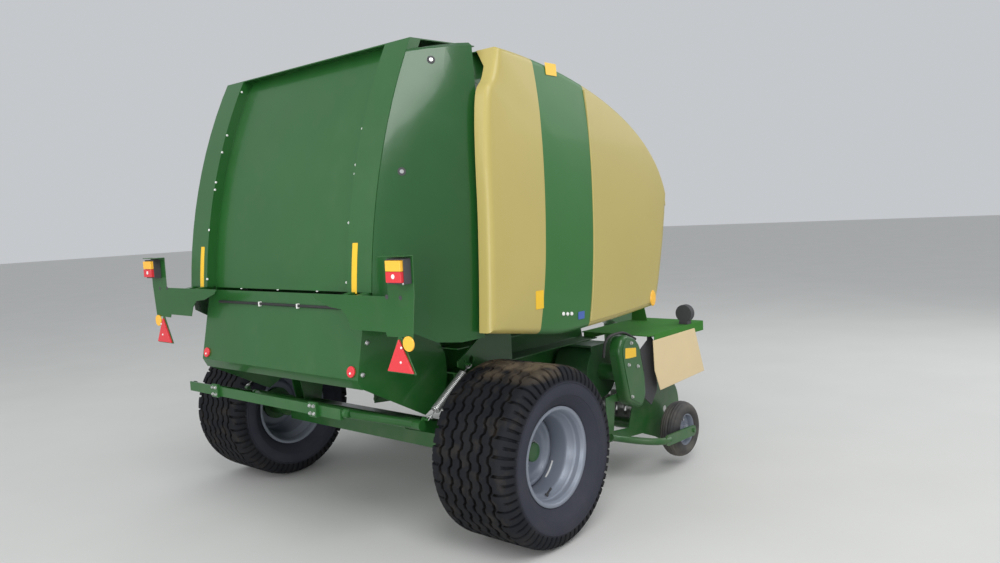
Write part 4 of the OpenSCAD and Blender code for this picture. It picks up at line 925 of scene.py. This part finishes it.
@dataclass
class SideHood(Sided):
    """A moulded hood: a bulged face, a rounded edge and a return that runs inwards all round."""

    # Its outline's X and Z in mm: the top's control points, then the front, the foot and the rear
    top: tuple = ((-87, 2352), (430, 2320), (1290, 2120), (1438, 1663))
    edge: tuple = (
        (1388, 1402), (1318, 1145), (1261, 1000), (900, 978), (563, 965), (326, 961), (100, 992),
        (-236, 1042), (-219, 1290), (-206, 1583), (-203, 1826), (-195, 2020), (-176, 2150), (-134, 2208),
        (-104, 2290))
    buttons: tuple = ((309, 1067), (344, 1062), (380, 1059))
    face_y: float = 1.085
    bulge: float = 0.018
    wall: float = 0.006
    edge_r: float = 0.034
    middle: tuple = (0.580, 1.640)
    top_steps: int = 28
    panel_rise: float = 0.0045
    panel_top: float = 2.18
    reflector: tuple = (1.205, 1.050, 0.0035)
    stickers: tuple = (("foot", Finishes.yellow, (0.118, 1.16, 0.030, 0.045)),
                       ("band", Finishes.blue, (0.47, 1.04, 0.028, 0.020)),
                       ("top", Finishes.yellow, (0.30, 2.285, 0.045, 0.030)))

    def outline(self) -> tuple[Array, Array]:
        """The hood's outline with rounded corners, and how deep its return is at each point."""
        top = bezier(mm(self.top), np.linspace(0, 1, self.top_steps))
        deep = np.where((top[:, 0] < 0.2) | (top[:, 0] >= 0.8), 0.140, 0.262)
        deep = np.convolve(np.pad(deep, 2, mode="edge"), np.ones(5) / 5, "valid")
        front, foot, rear = (spline(mm(part), 4)[:-1]
                             for part in (self.edge[:3], self.edge[2:8], self.edge[7:]))
        run = np.concatenate([deep, np.linspace(0.110, 0.060, len(front)), np.full(len(foot), 0.050),
                              np.full(len(rear), 0.078)])
        return np.vstack([top, front, foot, rear]), run

    def bulged(self, share: Array | float) -> Array | float:
        """How far the face stands out, by the share of the way from its edge to its middle: a cubic."""
        return self.face_y + self.bulge * (1 - (1 - share) ** 3)

    def shaped(self, points: Array) -> Array:
        """How far the face stands out at points of X and Z."""
        outline = self.outline()[0] - self.middle
        rel = points - self.middle
        around = np.arctan2(outline[:, 1], outline[:, 0])
        order = np.argsort(around)
        reach = np.interp(np.arctan2(rel[..., 1], rel[..., 0]), around[order],
                          np.linalg.norm(outline[order], axis=1), period=FULL_TURN)
        return self.bulged(np.clip(1 - np.linalg.norm(rel, axis=-1) / reach, 0, 1))

    def skin(self) -> Form:
        """Rings from the middle of the face to its edge, over the rounded edge, and back along the return.

        The edge is a quarter circle: the ring moves out by the sine of an angle and in along Y by
        1 minus its cosine. The inner skin is the same at the wall's thickness.

        Returns:
            The form, closed.
        """
        points, deep = self.outline()
        base = inset(points, self.edge_r)

        def face(depth: float, shares: Array) -> list:
            """Rings of the face, at each share of the way to the middle."""
            return [(base + share * (self.middle - base), self.bulged(share) - depth) for share in shares]

        def edge(depth: float, angles: Array) -> list:
            """Rings of the rounded edge, at each angle."""
            radius = self.edge_r - depth
            return [(inset(points, self.edge_r - radius * math.sin(a)),
                     self.face_y - self.edge_r + radius * math.cos(a)) for a in angles]

        shares = np.linspace(1, 0, 14)[:-1]
        quarter = np.linspace(0, np.pi / 2, 8)
        rings = [*face(0, shares), *edge(0, quarter), (points, self.face_y - deep),
                 (inset(points, self.wall), self.face_y - deep), *edge(self.wall, quarter[::-1]),
                 *face(self.wall, shares[::-1])]
        return grid(np.stack([np.insert(ring, 1, y, axis=1) for ring, y in rings]), around=True)

    def front_panel(self) -> Form:
        """The front part's own skin, which stands proud of the face along the band's bowed right edge.

        Columns run from the band's edge to the hood's front and rows from its foot to its top; the
        outermost rows and columns drop back to the face under them.

        Returns:
            The form.
        """
        rim = inset(self.outline()[0], 0.030)
        upper, lower, front = rim[:self.top_steps], rim[self.top_steps:], rim[20:36]
        upper = upper[np.argsort(upper[:, 0])]
        lower = lower[lower[:, 1] < 1.06]
        lower = lower[np.argsort(lower[:, 0])]
        front = front[np.argsort(front[:, 1])]
        v = np.concatenate([[0, 0.0015], np.linspace(0.008, 0.992, 44), [0.9985, 1]])[:, None]
        u = np.concatenate([[0, 0.004], np.linspace(0.02, 0.99, 26), [1.0]])[None, :]
        low = np.interp(0.6, *lower.T)
        z = low + v * (self.panel_top - low) + 0 * u
        for _ in range(4):
            left = BAND_FRONT.x(z) + 0.004
            x = left + u * (np.interp(z, front[:, 1], front[:, 0]) - left)
            foot = np.interp(x, *lower.T)
            z = foot + v * (np.interp(x, *upper.T) - foot)
        rise = np.full(x.shape, self.panel_rise)
        rise[[0, -1], :] = rise[:, [0, -1]] = 0
        outer = np.stack([x, self.shaped(np.stack([x, z], -1)) + rise - 0.0004, z], -1)
        return grid(outer) + grid(outer - (0, 0.004, 0)).inverted()

    def on_face(self, x: float, z: float, out: float = 0.0) -> Point:
        """The point of the outer face at X and Z, or so far outside it."""
        return (x, self.sense * (float(self.shaped(np.array([x, z]))) + out), z)

    def sticker(self, x: float, z: float, w: float, h: float) -> Form:
        """A blank sticker with rounded corners, of half width w and half height h, bent on to the face."""
        shape = filleted([(x - w, z - h), (x + w, z - h), (x + w, z + h), (x - w, z + h)], 0.004)
        y = self.shaped(shape)
        return layered([(shape, y - 0.001), (shape, y + 0.0006)], Plane.XZ)

    def build(self) -> None:
        """Makes the hood with its oval reflector, the three buttons at its foot and the blank stickers."""
        s, body = self.side, f"hood_{self.side}"
        outwards = (1, self.sense, 1)
        oval = revolved(mm([(0, 8), (20, 7.8), (26.5, 6), (29, 0), (0, 0)]), 40).scaled(1, 1.65, 1)
        dots = [self.on_face(x, z) for x, z in mm(self.buttons)]
        make_piece(f"hood_{s}_moulded", self.skin().scaled(*outwards), Finishes.hood, body, f"hood_{s}", 40)
        make_piece(f"hood_front_{s}", self.front_panel().scaled(*outwards), Finishes.hood, body, sharp=40)
        seat = standing(self.on_face(*self.reflector), self.axis)
        make_piece(f"hood_reflector_{s}", oval.placed(seat), Finishes.amber, body)
        make_piece(f"hood_buttons_{s}", fasteners(pan_head(0.020), dots, self.axis), Finishes.white, body)
        for name, finish, size in self.stickers:
            make_piece(f"hood_sticker_{name}_{s}", self.sticker(*size).scaled(*outwards), finish, body)


@dataclass
class DriveGuards:
    """The moulded guards of the chain drives on both sides, each with a raised face plate."""

    # Outlines and places in mm, in X and Z
    face: tuple = (
        (859, 805), (885, 849), (923, 860), (1008, 833), (1059, 786), (1077, 706), (1106, 598), (1110, 495),
        (1085, 438), (1045, 430), (928, 485), (883, 640), (854, 760))
    drop: tuple = (
        (1190, 828.7), (1190, 797), (1183, 797), (1101, 755), (1132, 626), (1134, 460), (1211, 402),
        (1285, 486), (1276, 657), (1264, 785), (1238, 809), (1230, 828.7))
    hose: tuple = ((731, 768), (749, 842), (789, 873), (877, 882), (960, 872), (1071, 822))
    label: tuple = ((892, 738), (930, 734), (1010, 731), (1010, 783), (897, 797))
    bolts: tuple = ((958, 818), (1022, 673), (950, 508), (925, 697))
    face_y: float = 1.080
    inner_y: float = 1.011
    hose_y: float = 1.045
    drop_y: float = 1.052
    rise: float = 0.004
    sleeve: tuple = ((0.96, 0.880, 0.64), (0.96, 1.013, 0.64))
    sleeve_r: float = 0.05
    layers: tuple = ((-0.010, 0.030), (-0.009, 0.018), (-0.004, 0.006), (0.004, 0), (0.014, 0))

    def body(self) -> Form:
        """Layers from the open inner edge out to a rounded face, and the sleeve of the rotor's shaft."""
        outline = filleted(mm(self.face), 0.022, 6)
        rings = [(inset(outline, depth), self.face_y - back) for depth, back in self.layers]
        return (layered([(inset(outline, self.layers[0][0]), self.inner_y), *rings], Plane.XZ)
                + tube(np.array(self.sleeve), self.sleeve_r, 40))

    def build(self) -> None:
        """Makes the guards, their face plates, hoses, bolts and blank stickers and the black drop plates."""
        y = self.face_y + self.rise
        cover = plate(inset(filleted(mm(self.face), 0.020, 5), 0.016), self.face_y - 0.001, y, Plane.XZ)
        drop = plate(filleted(mm(self.drop), 0.006, 3), self.drop_y, self.drop_y + 0.006, Plane.XZ)
        hose = tube(np.insert(spline(mm(self.hose), 6), 1, self.hose_y, axis=1), 0.008, 10, up=(0, 1, 0))
        bolts = fasteners(bolt_head(0.017), np.insert(mm(self.bolts), 1, y, axis=1), (0, 1, 0))
        label = plate(filleted(mm(self.label), 0.004), y - 0.001, y + 0.0008, Plane.XZ, 0.0003)
        guards = self.body().paired()
        make_piece("drive_guards_moulded", guards, Finishes.paint, "chassis", "drive_guards", 38)
        for name, form, finish in (
                ("guard_faces", cover, Finishes.paint), ("drop_plates", drop, Finishes.black),
                ("guard_trims", hose, Finishes.hose), ("guard_bolts", bolts, Finishes.zinc),
                ("guard_stickers", label, Finishes.yellow)):
            make_piece(f"drive_{name}", form.paired(), finish, "chassis")


@dataclass
class EjectorSprings:
    """Two close-wound springs with hooked ends that hold the bale ejector up."""

    top: tuple = (-0.062, 0.774, 0.846)
    low: tuple = (-0.372, 0.774, 0.634)
    coil_r: float = 0.0195
    hook_r: float = 0.014
    wire: float = 0.0068
    turns: int = 30
    shank: float = 0.040
    lead: float = 0.055
    bend_back: float = 0.012

    def coil(self) -> Array:
        """The wire's path: a straight hook, a helix of radius coil_r round the line, and a hook again."""
        a, b = np.array(self.top), np.array(self.low)
        u, v, w = cross_frame(b - a)
        t = np.linspace(0, 1, self.turns * 16)[:, None]
        turn = t * self.turns * FULL_TURN
        swell = np.clip(np.minimum(t, 1 - t) * self.turns / 0.8, 0, 1)
        helix = (a + (self.lead + t * (np.linalg.norm(b - a) - 2 * self.lead)) * w
                 + self.coil_r * swell * (np.cos(turn) * u + np.sin(turn) * v))
        bend = np.linspace(0, 1.6, 12)[:, None] * np.pi + np.pi * 0.9
        hook = self.hook_r * (np.cos(bend) * w + np.sin(bend) * u)
        back, shank = self.bend_back * w, self.shank * w
        return np.vstack([a + hook[::-1] + back, a + shank, helix, b - shank, b - hook - back])

    def build(self) -> None:
        """Makes both springs, which stretch between the chassis and the ejector."""
        path = self.coil()
        for side, sense in SIDES.items():
            form = tube(path * (1, sense, 1), self.wire / 2, 8, up=(0.3, 0.9, 0.3))
            replaces = "ejector_springs" if side == "right" else ""
            spring = make_piece(f"ejector_spring_{side}", form, Finishes.zinc, None, replaces, 60)
            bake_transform(spring)


@dataclass
class EjectorFittings:
    """The clamps on the kicker's bar and the bolts and rounded ends of its frame."""

    clamps: tuple = (0.373, -0.466)
    face_x: float = -0.8000
    depth: float = 0.0155
    half: float = 0.028
    low: float = 0.705
    high: float = 0.773
    bolt_step: float = 0.014
    bolt_rows: tuple = (0.722, 0.757)
    bar_end: tuple = (-0.757, 0.65, 0.735)

    def build(self) -> None:
        """Makes the clamps with their bolts and the bar's rounded ends."""
        x = self.face_x
        plates = joined([block((x, y - self.half, self.low), (x + self.depth, y + self.half, self.high),
                               0.002) for y in self.clamps])
        heads = [(x, y + step, z) for y in self.clamps for step in (-self.bolt_step, self.bolt_step)
                 for z in self.bolt_rows]
        ends = [np.array(self.bar_end) * (1, sense, 1) for sense in (1, -1)]
        knobs = joined([pan_head(0.044).placed(standing(end, (0, np.sign(end[1]), 0))) for end in ends])
        make_piece("kicker_clamps", plates, Finishes.paint, "kicker")
        bolts = fasteners(bolt_head(0.014), heads, (-1, 0, 0))
        make_piece("kicker_clamp_bolts", bolts, Finishes.zinc, "kicker")
        make_piece("kicker_bar_ends", knobs, Finishes.paint, "kicker")


@dataclass
class Surfaces:
    """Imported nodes' surfaces, on which small fittings are seated."""

    trees: dict = field(default_factory=dict)

    def tree(self, node: str) -> BVHTree:
        """The search tree of a node's faces, made once."""
        if node not in self.trees:
            work = bmesh.new()
            work.from_mesh(frame["nodes"][node].data)
            self.trees[node] = BVHTree.FromBMesh(work)
            work.free()
        return self.trees[node]

    def seats(self, nodes: Sequence[str], places: Sequence, lift: float = 0.0) -> Array:
        """Matrices that stand a form on the surface points nearest to some places.

        Args:
            nodes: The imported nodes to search.
            places: Points from the axle; the nearest surface point of any node counts.
            lift: How far the form stands off the surface.

        Returns:
            One 4 by 4 matrix for each place.
        """
        found = []
        for place in places:
            point = Vector(place) + Vector((AXLE_X, 0, 0))
            spot, normal, _, _ = min((self.tree(node).find_nearest(point) for node in nodes),
                                     key=lambda hit: hit[3])
            found.append(standing(np.array(spot + normal * lift) - (AXLE_X, 0, 0), normal, 0.3))
        return np.stack(found)


@dataclass(frozen=True)
class Fitting:
    """One kind of small fitting on the tailgate: a head at each place in mm on both sides."""

    name: str
    head: Form
    finish: Finish
    places: Sequence
    nodes: tuple = ("tailgate_shell",)
    slot: str = ""
    middle: Sequence = ()

    def spots(self) -> Array:
        """Every place: those on both sides, then those across the middle."""
        return mm([(x, sense * y, z) for x, y, z in self.places for sense in (-1, 1)] + list(self.middle))


STUDS = ((-500, 630, 2020), (-570, 630, 1805))
STUD_COLLAR = mm([(0, 0), (16.5, 0), (16.5, 3), (15, 4.5), (0, 4.5)])
STUD_RING = mm([(8.5, 4), (12.5, 4), (12.5, 5.8), (8.5, 5.8)])
LOCKS = ((-538, 900, 1802), (-331, 900, 2311))
COVERS = ("corner_covers",)
SHELL_BOLTS = [(x, 602, z) for x, z in (
    (-362, 2349), (-475, 2101), (-514, 2006), (-566, 1840), (-575, 1799), (-628, 1579), (-665, 1311))]
UPPER_FITTINGS = (
    Fitting("strip_stud_collars", revolved(STUD_COLLAR, 28), Finishes.black, STUDS),
    Fitting("strip_stud_rings", revolved(STUD_RING, 28, loop=True), Finishes.zinc, STUDS),
    Fitting("shell_bolts", pan_head(0.013), Finishes.white, SHELL_BOLTS,
            middle=[(-640, y, 1224) for y in (345, 11, -314)]),
    # Painted shade: flat black rings stand for the shade in the locks' round recesses, round their metal
    # cores
    Fitting("cover_lock_recess_shades", disc(0.019, 0.0022, 0.001, 28), Finishes.black, LOCKS, COVERS),
    Fitting("cover_lock_cores", disc(0.0095, 0.0045, 0.001, 20), Finishes.zinc, LOCKS, COVERS),
)
LOWER_FITTINGS = (
    Fitting("side_bolts", pan_head(0.024), Finishes.zinc, ((-624, 680, 1034), (-661, 680, 892)),
            ("tailgate_shell", "tailgate_lower")),
    # Painted shade: thin black discs stand for the shade inside the light carriers' holes
    Fitting("carrier_hole_shades", disc(0.010, 0.0008, 0.0003, 20), Finishes.black,
            ((-740, 938, 1261), (-740, 1022, 1259)), ("light_carriers",)),
    Fitting("sign_rivets", pan_head(0.011), Finishes.white,
            ((-770, 1021, 1052), (-770, 1013, 990), (-710, 622, 904)), ("red_lenses",)),
    Fitting("lamp_bulls_eyes", disc(0.010, 0.0015, 0.0008, 24), Finishes.white, ((-790, 1045, 1352),),
            ("red_lenses",), "red_lens"),
    Fitting("lamp_screws", pan_head(0.010), Finishes.zinc, ((-780, 1088, 1322),), ("lamp_housings",)),
)


@dataclass
class RearFittings:
    """Studs, locks, bolts, blank stickers and the cable on the tailgate."""

    upper: tuple = UPPER_FITTINGS
    lower: tuple = LOWER_FITTINGS
    strip_r: float = 2.9
    strip_centre: tuple = (2.227, 1.07)
    loom_place: tuple = (-0.690, 1.198)
    loom_half: float = 0.540
    loom_r: float = 0.007
    ties: tuple = (0.150, -0.178)
    sticker_z: tuple = (1.262, 1.488)
    sticker_y: tuple = (0.637, 0.673)
    surfaces: Surfaces = field(default_factory=Surfaces)

    def fit(self, fittings: Sequence[Fitting]) -> None:
        """Makes one piece of each fitting: its head seated at every place."""
        for item in fittings:
            seats = self.surfaces.seats(item.nodes, item.spots())
            make_piece(item.name, item.head.repeated(seats), item.finish, "tailgate")

    def stickers(self) -> Form:
        """The blank stickers down both strips: two columns of points bent along the strip's arc."""
        z = np.linspace(*self.sticker_z, 16)[:, None]
        y = np.array(self.sticker_y)[None, :]
        x = self.strip_centre[0] - np.sqrt(self.strip_r**2 - (z - self.strip_centre[1]) ** 2)
        layers = [np.stack(np.broadcast_arrays(x - out, y, z), -1) for out in (-0.001, 0.0008)]
        ring = [np.concatenate([m[:, 0], m[::-1, 1]]) for m in layers]
        return grid(np.stack(ring), around=True, caps=True).paired()

    def on_lower(self, across: Sequence, lift: float = 0.0) -> Array:
        """Points of the lower panel along the cable's line."""
        x, z = self.loom_place
        return self.surfaces.seats(("tailgate_lower",), [(x, y, z) for y in across], lift)[:, :3, 3]

    def build(self) -> None:
        """Makes the fittings, the blank stickers and the cable with its ties."""
        self.fit(self.upper)
        make_piece("strip_stickers", self.stickers(), Finishes.yellow, "tailgate")
        self.fit(self.lower)
        run = self.on_lower(np.linspace(-self.loom_half, self.loom_half, 13), self.loom_r + 0.0005)
        make_piece("loom", tube(run, self.loom_r), Finishes.hose, "tailgate")
        straps = joined([block(t - (0.016, 0.004, 0.012), t + (0.001, 0.004, 0.012), 0.001)
                         for t in self.on_lower(self.ties)])
        make_piece("loom_ties", straps, Finishes.white, "tailgate")


# Light


@dataclass
class Studio:
    """The floor, the light and the camera."""

    eye: tuple = (-2.9617, -3.4875, 1.5724)
    yaw: float = math.radians(40.637)
    pitch: float = math.radians(-4.60)
    roll: float = math.radians(-2.848)
    lens: float = 28.92
    world: float = 0.60
    lamps: tuple = (("key", (-3.5, -5.5, 7.5), 5.0, 370.0), ("fill", (-7.0, 2.5, 4.5), 5.0, 160.0),
                    ("front", (6.0, -4.0, 5.0), 5.0, 150.0), ("low", (-5.5, -3.0, 1.0), 2.5, 120.0))
    aim: tuple = (0.4, 0.0, 1.1)
    floor_half: float = 60.0

    def place(self, name: str, data: bpy.types.ID, matrix: Matrix) -> bpy.types.Object:
        """Puts a lamp, camera or mesh in the scene at a matrix measured from the axle."""
        thing = bpy.data.objects.new(name, data)
        thing.matrix_world = Matrix.Translation((AXLE_X, 0, 0)) @ matrix
        bpy.context.scene.collection.objects.link(thing)
        return thing

    def camera(self) -> None:
        """Sets the camera at the photo's place: its axes are the view's right, up and backwards."""
        level = math.cos(self.pitch)
        forward = np.array([math.cos(self.yaw) * level, math.sin(self.yaw) * level, math.sin(self.pitch)])
        right = unit(np.cross(forward, UP))
        up = np.cross(right, forward)
        c, s = math.cos(self.roll), math.sin(self.roll)
        matrix = np.eye(4)
        matrix[:3] = np.stack([right * c + up * s, up * c - right * s, -forward, self.eye], 1)
        data = bpy.data.cameras.new("photo_camera")
        data.lens = self.lens
        data.sensor_width = 36.0
        data.clip_end = 200.0
        bpy.context.scene.camera = self.place("photo_camera", data, Matrix(matrix.tolist()))

    def light(self) -> None:
        """Sets a pale even world and large lamps aimed at the machine's middle."""
        world = bpy.data.worlds.new("studio_world")
        world.use_nodes = True
        tree = world.node_tree
        tree.nodes.clear()
        shade = tree.nodes.new("ShaderNodeBackground")
        shade.inputs["Color"].default_value = (0.93, 0.96, 1.0, 1.0)
        shade.inputs["Strength"].default_value = self.world
        tree.links.new(shade.outputs[0], tree.nodes.new("ShaderNodeOutputWorld").inputs[0])
        bpy.context.scene.world = world
        for name, place, size, power in self.lamps:
            data = bpy.data.lights.new(name, "AREA")
            data.size = size
            data.energy = power
            turn = (Vector(self.aim) - Vector(place)).to_track_quat("-Z", "Y").to_matrix().to_4x4()
            self.place(name, data, Matrix.Translation(place) @ turn)

    def floor(self) -> None:
        """Lays a pale floor under the tyres."""
        mesh = bpy.data.meshes.new("studio_floor")
        h = self.floor_half
        mesh.from_pydata([(-h, -h, 0), (h, -h, 0), (h, h, 0), (-h, h, 0)], [], [(0, 1, 2, 3)])
        graph = Graph("studio_floor")
        tone = graph.blend((0.60, 0.60, 0.58), (0.66, 0.66, 0.64), graph.noise(1.3, 4.0))
        mesh.materials.append(graph.finish(Base_Color=tone, Roughness=0.85))
        floor = bpy.data.objects.new("studio_floor", mesh)
        bpy.context.scene.collection.objects.link(floor)

    def build(self) -> None:
        """Sets the camera, the light and the floor."""
        self.camera()
        self.light()
        self.floor()
        bpy.context.scene.view_settings.view_transform = "Standard"


def main() -> None:
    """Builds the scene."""
    logging.basicConfig(level=logging.INFO, format="%(message)s")
    Studio().build()
    DressedNodes().build()
    for side in SIDES:
        MainWheel(side).build()
        GaugeWheel(side).build()
        SideHood(side).build()
    DriveGuards().build()
    EjectorSprings().build()
    RearFittings().build()
    EjectorFittings().build()


if __name__ == "__main__":
    main()
